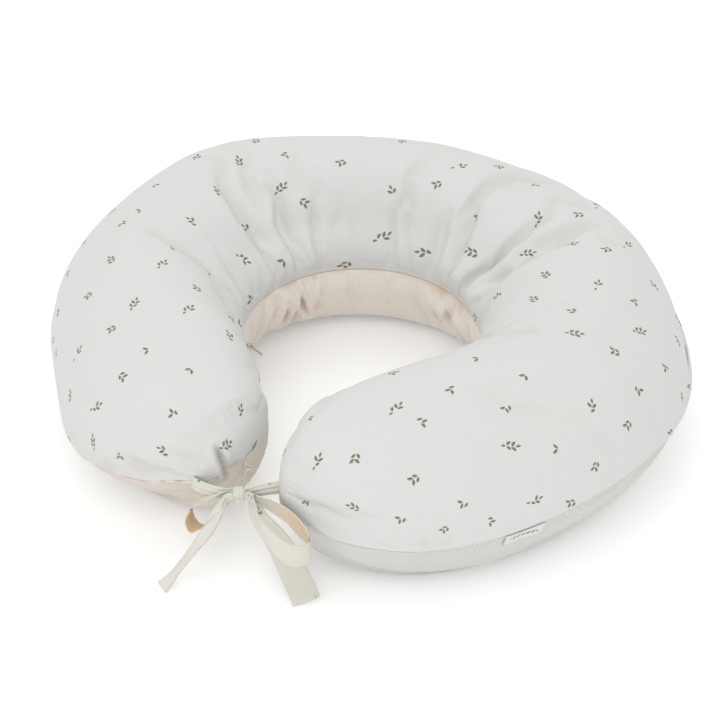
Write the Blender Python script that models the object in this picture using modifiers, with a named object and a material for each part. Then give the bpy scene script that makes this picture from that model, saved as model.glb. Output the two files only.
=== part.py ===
"""Nursing pillow: a C-shaped stuffed tube in a zipped cover, its tips tied in a bow.

Units are metres, +Z is up.  The waist opening is centred on the ring axis, the back of
the pillow is at +Y and the tips meet at -Y.  Everything hangs from one empty, which puts
the middle of the whole object's footprint at the world origin.
"""

import math

import bmesh
import bpy
from mathutils import Matrix, Vector

NAME = "nursing_pillow"

# Plan of the tube: a main arc about the ring axis, an end arc and a straight tip.
WAIST_RADIUS = 0.116
HALF_WIDTH_BACK = 0.095
HALF_WIDTH_SIDE = 0.103
HALF_WIDTH_TIP = 0.090
MAIN_ARC = math.radians(132.0)
END_ARC_RADIUS = 0.215
TIP_HEADING = math.radians(159.5)
TIP_STRAIGHT = 0.052
TIP_ROUNDING = 0.150
TIP_POWER = 2.3
TIP_SQUARENESS = 0.65

# Section of the tube.
HEIGHT_BACK = 0.180
HEIGHT_TIP = 0.172
SEAM_HEIGHT = 0.094
TOP_POWER = 2.15
BOTTOM_POWER = 2.4
FLOOR_SINK = 0.008

# The outer seam sags below the widest line: by this angle on each arm, between the back
# and the tip.
SEAM_SAG_RIGHT = math.radians(7.2)
SEAM_SAG_LEFT = math.radians(2.0)
SEAM_SAG_START = (0.08, 0.30)
SEAM_SAG_END = 0.06

# Fabric layers.
COVER_THICKNESS = 0.0013
CASE_THICKNESS = 0.0008
CASE_INSET = 0.0018
CASE_INSET_INNER = 0.0062
LAYER_GAP = 0.0020
SEAM_GAP = 0.0002
ZIP_LIP_GAP = 0.0008

# Zip, on an arc about the ring axis.  Depths are measured from the waist wall into the
# pillow, so a negative depth stands out into the waist opening.
ZIP_START = math.radians(-122.0)
ZIP_SWEEP = math.radians(172.0)
ZIP_MARGIN = math.radians(3.4)
STOP_MARGIN = math.radians(2.7)
COIL_MARGIN = math.radians(2.4)
ZIP_STEPS = 52
COIL_DEPTH = (0.0018, 0.0032)
COIL_HEIGHT = (0.0007, 0.0021)
TAPE_DEPTH = (0.0036, 0.0042)
TAPE_HEIGHT = (0.0009, 0.0125)
SLIDER_LENGTH = 0.0095
SLIDER_HALF_HEIGHT = 0.0032
SLIDER_WEB = 0.00035
SLIDER_FRONT = (-0.0024, -0.0012)
SLIDER_BACK = (0.0045, 0.0053)
BAIL_WIRE = 0.00045
BAIL_HALF_SPAN = 0.0029
BAIL_RISE = 0.0024
BAIL_POWER = 0.6
BAIL_FOOT = 0.0004
RING_RADIUS = 0.0026
RING_WIRE = 0.00045
RING_STAND = 0.0010
TAB_LENGTH = 0.0175
TAB_HALF_WIDTH = 0.0021
TAB_THICKNESS = 0.0008
TAB_EYE_RADIUS = 0.0011
TAB_DROOP = math.radians(47.0)

# Ties.
TIE_THICKNESS = 0.0010
TIE_WIDTH = 0.026
KNOT_WIDTH = 0.009
KNOT_LAYER = 0.0016
BAND_HALF_LENGTH = 0.004
BAND_CLEARANCE = 0.0012
BAND_POWER = 0.2
KNOT_CENTRE = Vector((-0.013, -0.247, 0.078))
KNOT_ALONG = Vector((0.897, 0.443, 0.0)).normalized()
KNOT_OUT = Vector((0.443, -0.897, 0.0)).normalized()
UP = Vector((0.0, 0.0, 1.0))

# Labels.
SIDE_LABEL = (0.040, 0.014)
CARE_LABEL = (0.030, 0.022)
LABEL_THICKNESS = 0.0006
LABEL_DROP = 0.0012
LABEL_STAND = 0.0018
CARE_LABEL_INSET = 0.0036
SIDE_LABEL_PLACE = 0.748
CARE_LABEL_PLACE = 0.55

# Mesh density.
STATIONS = 22
STATION_CROWDING = 1.6
SECTION_STEPS = 8
SEAM_STEP = math.radians(2.5)

# The footprint's middle lies this far in front of the ring axis.
FOOTPRINT_SHIFT = 0.009


# ---------------------------------------------------------------- the tube's form


def smooth(t):
    """Ease from 0 to 1."""
    t = min(max(t, 0.0), 1.0)
    return (1.0 - math.cos(math.pi * t)) / 2.0


def half_length():
    """Length of one arm's centreline, from the middle of the back to the tip."""
    main = (WAIST_RADIUS + HALF_WIDTH_SIDE) * MAIN_ARC
    return main + END_ARC_RADIUS * (TIP_HEADING - MAIN_ARC) + TIP_STRAIGHT


def half_width(s):
    """Half the tube's width at distance s along one arm."""
    u = abs(s) / half_length()
    if u < 0.5:
        return HALF_WIDTH_BACK + (HALF_WIDTH_SIDE - HALF_WIDTH_BACK) * smooth(u / 0.5)
    return HALF_WIDTH_SIDE + (HALF_WIDTH_TIP - HALF_WIDTH_SIDE) * smooth(u / 0.5 - 1.0)


def height(s):
    """The tube's height at distance s along one arm."""
    return HEIGHT_BACK + (HEIGHT_TIP - HEIGHT_BACK) * abs(s) / half_length()


def centreline(s):
    """Centre point and outward normal at signed distance s; +X side is positive."""
    side = -1.0 if s < 0.0 else 1.0
    s = abs(s)
    main_length = (WAIST_RADIUS + HALF_WIDTH_SIDE) * MAIN_ARC
    if s <= main_length:
        angle = MAIN_ARC * s / main_length
        radius = WAIST_RADIUS + half_width(s)
        point = Vector((radius * math.sin(angle), radius * math.cos(angle), 0.0))
    else:
        angle = min(MAIN_ARC + (s - main_length) / END_ARC_RADIUS, TIP_HEADING)
        offset = WAIST_RADIUS + half_width(main_length) - END_ARC_RADIUS
        centre = Vector((offset * math.sin(MAIN_ARC), offset * math.cos(MAIN_ARC), 0.0))
        point = centre + END_ARC_RADIUS * Vector((math.sin(angle), math.cos(angle), 0.0))
        straight = max(s - (half_length() - TIP_STRAIGHT), 0.0)
        point += straight * Vector((math.cos(angle), -math.sin(angle), 0.0))
    normal = Vector((side * math.sin(angle), math.cos(angle), 0.0))
    return Vector((side * point.x, point.y, 0.0)), normal


def tip_factor(s, inset):
    """1 along the arm, rounding off to 0 at the tip."""
    start = half_length() - inset - TIP_ROUNDING
    k = min(max((abs(s) - start) / TIP_ROUNDING, 0.0), 1.0)
    return (1.0 - k**TIP_POWER) ** (1.0 / TIP_POWER)


def skin_point(s, angle, inset=0.0, inset_inner=None):
    """A point of the tube's skin, moved inwards by inset (inset_inner at the waist).

    angle is 0 at the outer seam, 90 degrees on top, 180 at the waist, 270 underneath.
    """
    if inset_inner is None:
        inset_inner = inset
    centre, normal = centreline(s)
    rounding = tip_factor(s, inset)
    across, lift = math.cos(angle), math.sin(angle)
    power = 2.0 / (TOP_POWER if lift >= 0.0 else BOTTOM_POWER)
    side_inset = inset if across >= 0.0 else inset_inner
    width = (half_width(s) - side_inset) * rounding
    reach = (height(s) - SEAM_HEIGHT if lift >= 0.0 else SEAM_HEIGHT + FLOOR_SINK) - inset
    reach *= TIP_SQUARENESS * rounding + (1.0 - TIP_SQUARENESS) * math.sqrt(rounding)
    z = SEAM_HEIGHT + math.copysign(abs(lift) ** power, lift) * reach
    point = centre + normal * (width * math.copysign(abs(across) ** power, across))
    return Vector((point.x, point.y, max(z, inset)))


def seam_sag(s):
    """Angle by which the outer seam lies below the widest line at a station."""
    start = (abs(s) - SEAM_SAG_START[0]) / (SEAM_SAG_START[1] - SEAM_SAG_START[0])
    end = (half_length() - abs(s)) / SEAM_SAG_END
    return (SEAM_SAG_LEFT if s < 0.0 else SEAM_SAG_RIGHT) * smooth(start) * smooth(end)


def turned(s, angle):
    """A section angle shifted so that 0 lies on the outer seam and 180 degrees stays put."""
    return angle - seam_sag(s) * (1.0 + math.cos(angle)) / 2.0


def stations(inset):
    """Signed distances from the left tip to the right tip, closer at the tips."""
    length = half_length() - inset
    steps = (1.0 - i / STATIONS for i in range(STATIONS + 1))
    arm = [length * (1.0 - step**STATION_CROWDING) for step in steps]
    return [-s for s in reversed(arm[1:])] + arm


# ---------------------------------------------------------------- building helpers


def clear_scene():
    for obj in list(bpy.data.objects):
        bpy.data.objects.remove(obj, do_unlink=True)


def material(name, colour, roughness, metallic=0.0):
    mat = bpy.data.materials.new(name)
    mat.use_nodes = True
    shader = mat.node_tree.nodes["Principled BSDF"]
    shader.inputs["Base Color"].default_value = (*colour, 1.0)
    shader.inputs["Roughness"].default_value = roughness
    shader.inputs["Metallic"].default_value = metallic
    return mat


def add_object(name, mesh, mat, parent, place=None):
    """Put a mesh in the part's collection under a parent."""
    obj = bpy.data.objects.new(name, mesh)
    obj.data.materials.append(mat)
    bpy.data.collections[NAME].objects.link(obj)
    obj.parent = parent
    if place is not None:
        obj.matrix_local = place
    return obj


def finish_bmesh(bm, name):
    """Weld, turn the faces outwards and return the mesh."""
    bmesh.ops.remove_doubles(bm, verts=bm.verts, dist=0.00001)
    bmesh.ops.recalc_face_normals(bm, faces=bm.faces)
    mesh = bpy.data.meshes.new(name)
    bm.to_mesh(mesh)
    bm.free()
    return mesh


def loft(name, sections, closed=False, capped=False):
    """Skin a list of sections, each a list of points."""
    bm = bmesh.new()
    rows = [[bm.verts.new(point) for point in section] for section in sections]
    for row, following in zip(rows, rows[1:]):
        last = len(row) if closed else len(row) - 1
        for j in range(last):
            k = (j + 1) % len(row)
            bm.faces.new((row[j], following[j], following[k], row[k]))
    if capped:
        bm.faces.new(list(reversed(rows[0])))
        bm.faces.new(rows[-1])
    return finish_bmesh(bm, name)


def solidify(obj, thickness, offset):
    """Give a sheet its thickness: offset -1 grows inwards, +1 outwards."""
    modifier = obj.modifiers.new("thickness", "SOLIDIFY")
    modifier.thickness = thickness
    modifier.offset = offset
    modifier.use_even_offset = True


def union(obj, other):
    """Join another object into obj and apply the result."""
    modifier = obj.modifiers.new("join", "BOOLEAN")
    modifier.operation = "UNION"
    modifier.solver = "EXACT"
    modifier.object = other
    bpy.context.view_layer.update()
    evaluated = obj.evaluated_get(bpy.context.evaluated_depsgraph_get())
    mesh = bpy.data.meshes.new_from_object(evaluated)
    obj.modifiers.clear()
    obj.data = mesh
    bpy.data.objects.remove(other, do_unlink=True)


# ---------------------------------------------------------------- fabric shells


def half_shell(name, upper, thickness, inset, inset_inner, waist_gap, mat, parent):
    """The top or bottom half of a C-shaped fabric skin, open along its seams."""
    angles = [0.0, SEAM_STEP] + [math.pi * j / SECTION_STEPS for j in range(1, SECTION_STEPS)]
    angles += [math.pi - SEAM_STEP, math.pi]
    sections = []
    for s in stations(inset):
        section = []
        for angle in angles:
            turn = turned(s, angle if upper else -angle)
            point = skin_point(s, turn, inset, inset_inner)
            gap = waist_gap(s) if angle == math.pi else SEAM_GAP
            shift = gap if upper else -gap
            point.z = max(point.z + shift, inset)
            section.append(point)
        sections.append(section)
    mesh = loft(name, sections)
    obj = add_object(name, mesh, mat, parent)
    outward = sum((p.normal.z * p.area for p in mesh.polygons))
    if (outward > 0.0) != upper:
        mesh.flip_normals()
    solidify(obj, thickness, -1.0)
    return obj


def zip_angle(s):
    """Angle about the ring axis of a station, from +Y towards +X."""
    centre, _ = centreline(s)
    return math.atan2(centre.x, centre.y)


def cover_gap(s):
    """Half the waist seam's gap: wider where the zip's slider runs between the two lips."""
    in_zip = ZIP_START - 2 * ZIP_MARGIN < zip_angle(s) < ZIP_START + ZIP_SWEEP + 2 * ZIP_MARGIN
    return ZIP_LIP_GAP if in_zip else SEAM_GAP


def case_gap(_):
    """Half the waist seam's gap of the inner case, which has no zip."""
    return SEAM_GAP


def build_cover(parent):
    cotton = material("printed_cotton", (0.82, 0.81, 0.77), 0.85)
    stripe = material("pinstripe_muslin", (0.80, 0.72, 0.65), 0.88)
    for name, upper, mat in (("cover_top_panel", True, cotton), ("cover_bottom_panel", False, stripe)):
        half_shell(name, upper, COVER_THICKNESS, 0.0, 0.0, cover_gap, mat, parent)


def build_inner_case(parent):
    case = material("inner_case_cotton", (0.86, 0.85, 0.83), 0.9)
    for name, upper in (("inner_case_top", True), ("inner_case_bottom", False)):
        half_shell(
            name, upper, CASE_THICKNESS, CASE_INSET, CASE_INSET_INNER, case_gap, case, parent
        )


def build_fill(parent):
    """The stuffing: one closed body inside the inner case."""
    inset = CASE_INSET + CASE_THICKNESS + LAYER_GAP
    inset_inner = CASE_INSET_INNER + CASE_THICKNESS + LAYER_GAP
    turns = [math.pi * j / SECTION_STEPS for j in range(2 * SECTION_STEPS)]
    sections = []
    for s in stations(inset):
        sections.append([skin_point(s, turned(s, turn), inset, inset_inner) for turn in turns])
    mesh = loft("fibre_fill", sections, closed=True)
    add_object("fibre_fill", mesh, material("polyester_fibre", (0.9, 0.9, 0.9), 0.95), parent)


def angle_at_drop(drop):
    """Section angle at which the lower half of the skin lies this far below the seam."""
    return math.asin((drop / (SEAM_HEIGHT + FLOOR_SINK)) ** (BOTTOM_POWER / 2.0))


def drop_at_angle(angle):
    """How far below the widest line the skin lies at this angle underneath it."""
    return (SEAM_HEIGHT + FLOOR_SINK) * math.sin(angle) ** (2.0 / BOTTOM_POWER)


def label_patch(name, s_middle, size, at_waist, inset, mat, parent):
    """A small fabric label that hangs from the seam along the skin."""
    columns, rows = 5, 2
    side = math.pi if at_waist else 0.0
    run = (skin_point(s_middle + 0.001, side) - skin_point(s_middle, side)).length / 0.001
    seam_drop = 0.0 if at_waist else drop_at_angle(seam_sag(s_middle))
    drops = [seam_drop + LABEL_DROP + size[1] * j / rows for j in range(rows + 1)]
    turns = [side + (1.0 if at_waist else -1.0) * angle_at_drop(drop) for drop in drops]
    sections = []
    for i in range(columns + 1):
        s = s_middle + (i / columns - 0.5) * size[0] / run
        sections.append([skin_point(s, turn, inset) for turn in turns])
    obj = add_object(name, loft(name, sections), mat, parent)
    solidify(obj, LABEL_THICKNESS, 0.0)
    return obj


def build_labels(parent):
    satin = material("label_satin", (0.9, 0.9, 0.88), 0.6)
    side, care = SIDE_LABEL_PLACE * half_length(), CARE_LABEL_PLACE * half_length()
    label_patch("side_label", side, SIDE_LABEL, False, -LABEL_STAND, satin, parent)
    label_patch("care_label", care, CARE_LABEL, True, CARE_LABEL_INSET, satin, parent)


# ---------------------------------------------------------------- zip


def zip_point(angle, depth, z):
    """A point on the zip's arc; depth runs from the waist wall into the pillow."""
    radius = WAIST_RADIUS + depth
    return Vector((radius * math.sin(angle), radius * math.cos(angle), SEAM_HEIGHT + z))


def zip_frame(angle):
    """Local X along the zip's travel, Y into the pillow and Z up, at an angle."""
    rotation = Matrix.Rotation(-angle, 4, "Z")
    return Matrix.Translation(zip_point(angle, 0.0, 0.0)) @ rotation


def zip_strip(name, start, end, depth, rise, mat, parent):
    """A rectangular strip swept along the zip's arc."""
    steps = max(2, math.ceil(ZIP_STEPS * (end - start) / ZIP_SWEEP))
    corners = ((depth[0], rise[0]), (depth[1], rise[0]), (depth[1], rise[1]), (depth[0], rise[1]))
    sections = []
    for i in range(steps + 1):
        angle = start + (end - start) * i / steps
        sections.append([zip_point(angle, d, z) for d, z in corners])
    return add_object(name, loft(name, sections, closed=True, capped=True), mat, parent)


def build_zip_strips(parent):
    """Tapes, coils and stops: the fixed parts of the zip."""
    tape = material("zip_tape_polyester", (0.80, 0.78, 0.73), 0.8)
    coil = material("zip_coil_nylon", (0.78, 0.76, 0.70), 0.45)
    metal = material("zip_stop_metal", (0.62, 0.61, 0.58), 0.35, 1.0)
    end = ZIP_START + ZIP_SWEEP
    tape_span = (ZIP_START - 2.0 * ZIP_MARGIN, end + 2.0 * ZIP_MARGIN)
    coil_span = (ZIP_START - COIL_MARGIN, end + COIL_MARGIN)
    stop_depth = (COIL_DEPTH[0] - 0.0003, COIL_DEPTH[1] + 0.0001)
    stop_rise = COIL_HEIGHT[1] + 0.0004
    for side, word in ((1.0, "upper"), (-1.0, "lower")):
        tape_rise = sorted(side * z for z in TAPE_HEIGHT)
        coil_rise = sorted(side * z for z in COIL_HEIGHT)
        top_rise = sorted((side * COIL_HEIGHT[0], side * stop_rise))
        zip_strip("zip_tape_" + word, *tape_span, TAPE_DEPTH, tape_rise, tape, parent)
        zip_strip("zip_coil_" + word, *coil_span, COIL_DEPTH, coil_rise, coil, parent)
        top_start = ZIP_START - ZIP_MARGIN
        top_end = ZIP_START - STOP_MARGIN
        zip_strip("zip_top_stop_" + word, top_start, top_end, stop_depth, top_rise, metal, parent)
    bottom = (end + STOP_MARGIN, end + ZIP_MARGIN)
    zip_strip("zip_bottom_stop", *bottom, stop_depth, (-stop_rise, stop_rise), metal, parent)


def curve_mesh(name, splines, extrude=0.0, wire=0.0, cyclic=True):
    """Mesh of a filled flat outline (extrude) or of a round wire (wire)."""
    curve = bpy.data.curves.new(name, "CURVE")
    curve.dimensions = "3D" if wire else "2D"
    curve.extrude = extrude
    curve.bevel_depth = wire
    curve.bevel_resolution = 2
    curve.use_fill_caps = bool(wire) and not cyclic
    curve.fill_mode = "FULL" if wire else "BOTH"
    for points in splines:
        spline = curve.splines.new("POLY")
        spline.points.add(len(points) - 1)
        spline.use_cyclic_u = cyclic
        for target, point in zip(spline.points, points):
            target.co = (*point, 1.0)
    holder = bpy.data.objects.new(name, curve)
    bpy.data.collections[NAME].objects.link(holder)
    bpy.context.view_layer.update()
    evaluated = holder.evaluated_get(bpy.context.evaluated_depsgraph_get())
    bm = bmesh.new()
    bm.from_mesh(bpy.data.meshes.new_from_object(evaluated))
    bpy.data.objects.remove(holder, do_unlink=True)
    return finish_bmesh(bm, name)


def circle(radius, count, centre=(0.0, 0.0)):
    """Points of a circle in the XY plane."""
    turns = (2.0 * math.pi * i / count for i in range(count))
    return [(centre[0] + radius * math.cos(a), centre[1] + radius * math.sin(a), 0.0) for a in turns]


def build_slider(axis):
    """Slider: front plate, web between the coils, flanged back plate and pull bail."""
    metal = material("zip_slider_metal", (0.60, 0.59, 0.56), 0.3, 1.0)
    half, web = SLIDER_HALF_HEIGHT, SLIDER_WEB
    quarter = (
        (SLIDER_FRONT[0], 0.0),
        (SLIDER_FRONT[0], half),
        (SLIDER_FRONT[1], half),
        (SLIDER_FRONT[1], web),
        (SLIDER_BACK[0], web),
        (SLIDER_BACK[0], half),
        (SLIDER_BACK[1], half),
        (SLIDER_BACK[1], 0.0),
    )
    upper = [(depth, z, 0.0) for depth, z in quarter[1:-1]]
    lower = [(depth, -z, 0.0) for depth, z in reversed(quarter[1:-1])]
    body = curve_mesh("zip_slider", [upper + lower], extrude=SLIDER_LENGTH / 2.0)
    outline_to_slider = Matrix(((0, 0, 1, 0), (1, 0, 0, 0), (0, 1, 0, 0), (0, 0, 0, 1)))
    body.transform(outline_to_slider)
    arch = []
    for i in range(13):
        turn = math.pi * i / 12
        rise = BAIL_RISE * math.sin(turn) ** BAIL_POWER if 0 < i < 12 else -BAIL_FOOT
        arch.append((-BAIL_HALF_SPAN * math.cos(turn), SLIDER_FRONT[0] - rise, 0.0))
    bail = curve_mesh("bail", [arch], wire=BAIL_WIRE, cyclic=False)
    place = zip_frame(ZIP_START)
    slider = add_object("zip_slider", body, metal, axis, place)
    union(slider, add_object("bail", bail, metal, axis, place))
    return slider


def build_pull(slider):
    """The ring hinged under the slider's bail and the tab that hangs on the ring."""
    metal = material("zip_pull_metal", (0.55, 0.54, 0.52), 0.35, 1.0)
    pivot = Matrix.Translation((0.0, SLIDER_FRONT[0] - RING_STAND, 0.0))
    ring_mesh = curve_mesh("zip_pull_ring", [circle(RING_RADIUS, 20)], wire=RING_WIRE)
    ring_mesh.transform(Matrix.Rotation(math.pi / 2.0, 4, "Y"))
    ring_mesh.transform(Matrix.Translation((0.0, -RING_RADIUS, 0.0)))
    ring = add_object("zip_pull_ring", ring_mesh, metal, slider, pivot)

    eye = (RING_RADIUS, 0.0)
    far = RING_RADIUS - TAB_HALF_WIDTH + TAB_LENGTH
    turns = [math.pi * i / 8 for i in range(9)]
    near_end = [(eye[0] - TAB_HALF_WIDTH * math.sin(a), TAB_HALF_WIDTH * math.cos(a), 0.0) for a in turns]
    end_radius = 0.8 * TAB_HALF_WIDTH
    far_end = [
        (far - end_radius + end_radius * math.sin(a), -end_radius * math.cos(a), 0.0) for a in turns
    ]
    hole = circle(TAB_EYE_RADIUS, 14, eye)
    tab_mesh = curve_mesh("zip_pull_tab", [near_end + far_end, hole], extrude=TAB_THICKNESS / 2.0)
    tab_mesh.transform(Matrix(((0, 1, 0, 0), (-1, 0, 0, 0), (0, 0, 1, 0), (0, 0, 0, 1))))
    droop = Matrix.Rotation(TAB_DROOP, 4, "X")
    centre = Matrix.Translation((0.0, -RING_RADIUS, 0.0))
    add_object("zip_pull_tab", tab_mesh, metal, ring, centre @ droop)


# ---------------------------------------------------------------- ties


def knot(along, out, up=0.0):
    """A point near the knot, in the knot's own directions."""
    return KNOT_CENTRE + along * KNOT_ALONG + out * KNOT_OUT + up * UP


def eased(values, i, t):
    """Catmull-Rom value between entries i and i + 1."""
    before = values[max(i - 1, 0)]
    after = values[min(i + 2, len(values) - 1)]
    start, end = values[i], values[i + 1]
    return 0.5 * (
        2.0 * start + t * (end - before)
        + t**2 * (2.0 * before - 5.0 * start + 4.0 * end - after)
        + t**3 * (3.0 * start - 3.0 * end + after - before)
    )


def ribbon(name, keys, steps=4):
    """A flat strap through keys of (point, width direction, width)."""
    places = [Vector(key[0]) for key in keys]
    edges = [Vector(key[1]).normalized() for key in keys]
    widths = [key[2] for key in keys]
    path = []
    for i in range(len(keys) - 1):
        for k in range(steps):
            t = k / steps
            path.append((eased(places, i, t), eased(edges, i, t), eased(widths, i, t)))
    path.append((places[-1], edges[-1], widths[-1]))
    sections = []
    for i, (point, edge, width) in enumerate(path):
        run = path[min(i + 1, len(path) - 1)][0] - path[max(i - 1, 0)][0]
        run.normalize()
        edge = (edge - run * edge.dot(run)).normalized() * width / 2.0
        face = run.cross(edge).normalized() * TIE_THICKNESS / 2.0
        sections.append([point - edge - face, point + edge - face, point + edge + face, point - edge + face])
    return loft(name, sections, closed=True, capped=True)


def knot_band(name):
    """The turn of the left tie around the other layers of the knot."""
    low, high = -TIE_THICKNESS, 3.0 * KNOT_LAYER + 0.3 * TIE_THICKNESS
    half = KNOT_WIDTH / 2.0 + BAND_CLEARANCE
    corners = ((0.0, -1.0), (0.0, 1.0), (1.0, 1.0), (1.0, -1.0))
    middle = (low + high) / 2.0
    sections = []
    for i in range(24):
        turn = 2.0 * math.pi * i / 24
        section = []
        for grow, side in corners:
            out_reach = (high - low) / 2.0 + grow * TIE_THICKNESS
            up_reach = half + grow * TIE_THICKNESS
            c, s = math.cos(turn), math.sin(turn)
            out = middle + out_reach * math.copysign(abs(c) ** BAND_POWER, c)
            up = up_reach * math.copysign(abs(s) ** BAND_POWER, s)
            section.append(knot(side * BAND_HALF_LENGTH, out, up))
        sections.append(section)
    return loft(name, sections + sections[:1], closed=True)


def right_tie_keys():
    """From the right tip through the knot, round the left loop, down as the right tail."""
    forward = Vector((0.4, -0.88, 0.2))
    flat = Vector((0.9, 0.3, 0.0))
    return [
        ((0.0335, -0.2420, 0.0890), UP, 0.018),
        ((0.0180, -0.2390, 0.0850), UP, 0.014),
        (knot(0.012, 0.0, 0.0005), UP, 0.0095),
        (knot(0.005, 0.0), UP, KNOT_WIDTH),
        (knot(-0.004, 0.0), UP, KNOT_WIDTH),
        (knot(-0.010, 0.0), UP, KNOT_WIDTH),
        ((-0.0360, -0.2605, 0.0735), (0.2, -0.70, 0.65), 0.015),
        ((-0.0500, -0.2665, 0.0600), (0.35, -0.85, 0.35), 0.018),
        ((-0.0555, -0.2670, 0.0460), forward, 0.019),
        ((-0.0470, -0.2660, 0.0345), forward, 0.019),
        ((-0.0360, -0.2640, 0.0430), forward, 0.016),
        ((-0.0300, -0.2585, 0.0600), (0.3, -0.6, 0.6), 0.011),
        (knot(-0.009, KNOT_LAYER, -0.0005), UP, KNOT_WIDTH),
        (knot(-0.002, KNOT_LAYER), UP, KNOT_WIDTH),
        (knot(0.007, KNOT_LAYER), UP, KNOT_WIDTH),
        (knot(0.0135, KNOT_LAYER, -0.004), 0.8 * UP + 0.6 * KNOT_ALONG, 0.011),
        ((0.0060, -0.2475, 0.0610), (0.75, 0.25, 0.5), 0.018),
        ((0.0180, -0.2550, 0.0450), flat, 0.024),
        ((0.0330, -0.2650, 0.0250), flat, TIE_WIDTH),
        ((0.0460, -0.2760, 0.0115), flat, TIE_WIDTH),
        ((0.0600, -0.2890, 0.0042), flat, TIE_WIDTH),
    ]


def left_tie_keys():
    """Lead-in to the knot; then the right loop and the left tail."""
    forward = Vector((0.3, -0.9, 0.3))
    lead_in = [
        (knot(-0.050, -0.0098, 0.012), UP, 0.020),
        (knot(-0.032, -0.0080, 0.008), UP, 0.017),
        (knot(-0.016, -0.0036, 0.003), UP, 0.012),
        (knot(-0.006, -KNOT_LAYER), UP, KNOT_WIDTH),
        (knot(0.004, -KNOT_LAYER), UP, KNOT_WIDTH),
    ]
    loop_and_tail = [
        (knot(-0.004, 2.0 * KNOT_LAYER), UP, KNOT_WIDTH),
        (knot(0.008, 2.0 * KNOT_LAYER), UP, KNOT_WIDTH),
        ((0.0100, -0.2470, 0.0815), (0.0, -0.4, 0.9), 0.013),
        ((0.0330, -0.2590, 0.0815), (0.1, -0.75, 0.65), 0.020),
        ((0.0580, -0.2700, 0.0750), (0.25, -0.85, 0.45), 0.024),
        ((0.0735, -0.2765, 0.0610), forward, 0.025),
        ((0.0690, -0.2800, 0.0470), forward, 0.025),
        ((0.0500, -0.2790, 0.0480), forward, 0.024),
        ((0.0260, -0.2700, 0.0620), (0.1, -0.75, 0.65), 0.018),
        (knot(0.013, 0.0066, -0.001), UP, 0.011),
        (knot(0.006, 3.0 * KNOT_LAYER), UP, KNOT_WIDTH),
        (knot(-0.008, 3.0 * KNOT_LAYER), UP, KNOT_WIDTH),
        (knot(-0.0135, 3.2 * KNOT_LAYER, -0.003), 0.8 * UP - 0.6 * KNOT_ALONG, KNOT_WIDTH),
        ((-0.0245, -0.2690, 0.0665), (-0.8, -0.3, 0.4), 0.012),
        ((-0.0300, -0.2860, 0.0500), (-0.9, -0.3, 0.1), 0.015),
        ((-0.0460, -0.3080, 0.0190), (-0.9, -0.3, 0.1), 0.012),
        ((-0.0610, -0.3190, 0.0046), (-0.9, 0.3, 0.0), 0.015),
    ]
    return lead_in, loop_and_tail


def build_ties(parent):
    cotton = material("tie_cotton", (0.83, 0.82, 0.76), 0.85)
    add_object("tie_right", ribbon("tie_right", right_tie_keys()), cotton, parent)
    lead_in, loop_and_tail = left_tie_keys()
    tie = add_object("tie_left", ribbon("tie_left", loop_and_tail), cotton, parent)
    union(tie, add_object("band", knot_band("band"), cotton, parent))
    union(tie, add_object("lead_in", ribbon("lead_in", lead_in), cotton, parent))


# ---------------------------------------------------------------- assembly


def main():
    clear_scene()
    collection = bpy.data.collections.new(NAME)
    bpy.context.scene.collection.children.link(collection)
    pillow = bpy.data.objects.new("pillow_origin", None)
    collection.objects.link(pillow)
    pillow.location = (0.0, FOOTPRINT_SHIFT, 0.0)
    travel_axis = bpy.data.objects.new("zip_travel_axis", None)
    collection.objects.link(travel_axis)
    travel_axis.parent = pillow
    bpy.context.view_layer.update()

    build_cover(pillow)
    build_inner_case(pillow)
    build_fill(pillow)
    build_labels(pillow)
    build_zip_strips(pillow)
    slider = build_slider(travel_axis)
    build_pull(slider)
    build_ties(pillow)


main()
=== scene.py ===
"""Looks of the nursing pillow: a printed cotton and pinstripe muslin cover over soft filling,
with the tips tied in a bow.

Units are metres.  The form functions repeat the CAD model's driving dimensions, so each piece
lies where its CAD solid lies.
"""

import math

import bpy
import numpy as np
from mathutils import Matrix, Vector


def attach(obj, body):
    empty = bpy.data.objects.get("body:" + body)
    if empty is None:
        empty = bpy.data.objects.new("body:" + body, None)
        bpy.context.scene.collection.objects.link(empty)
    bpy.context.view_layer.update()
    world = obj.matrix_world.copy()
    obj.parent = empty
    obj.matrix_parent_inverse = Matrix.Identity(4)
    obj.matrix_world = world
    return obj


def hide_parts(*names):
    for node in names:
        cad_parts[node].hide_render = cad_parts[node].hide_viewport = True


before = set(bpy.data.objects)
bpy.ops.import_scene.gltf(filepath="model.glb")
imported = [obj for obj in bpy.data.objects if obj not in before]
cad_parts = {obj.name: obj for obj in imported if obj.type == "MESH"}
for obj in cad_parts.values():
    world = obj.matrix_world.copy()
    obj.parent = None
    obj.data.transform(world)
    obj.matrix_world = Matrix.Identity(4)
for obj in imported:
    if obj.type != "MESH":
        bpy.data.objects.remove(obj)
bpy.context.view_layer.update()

# Plan and section of the tube, as in the CAD model.
RING_CENTRE_Y = 0.009
WAIST_RADIUS = 0.116
HALF_WIDTH_BACK = 0.095
HALF_WIDTH_SIDE = 0.103
HALF_WIDTH_TIP = 0.09
MAIN_ARC = math.radians(132.0)
END_ARC_RADIUS = 0.215
TIP_HEADING = math.radians(159.5)
TIP_STRAIGHT = 0.052
TIP_ROUNDING = 0.15
TIP_POWER = 2.3
TIP_SQUARENESS = 0.65
HEIGHT_BACK = 0.18
HEIGHT_TIP = 0.172
SEAM_HEIGHT = 0.094
TOP_POWER = 2.15
BOTTOM_POWER = 2.4
FLOOR_SINK = 0.008
SEAM_SAG_RIGHT = math.radians(12.5)
SEAM_SAG_LEFT = math.radians(9.5)
SEAM_SAG_START = (0.36, 0.58)
SEAM_SAG_END = 0.06
ZIP_START = math.radians(-122.0)
ZIP_SWEEP = math.radians(172.0)
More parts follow.
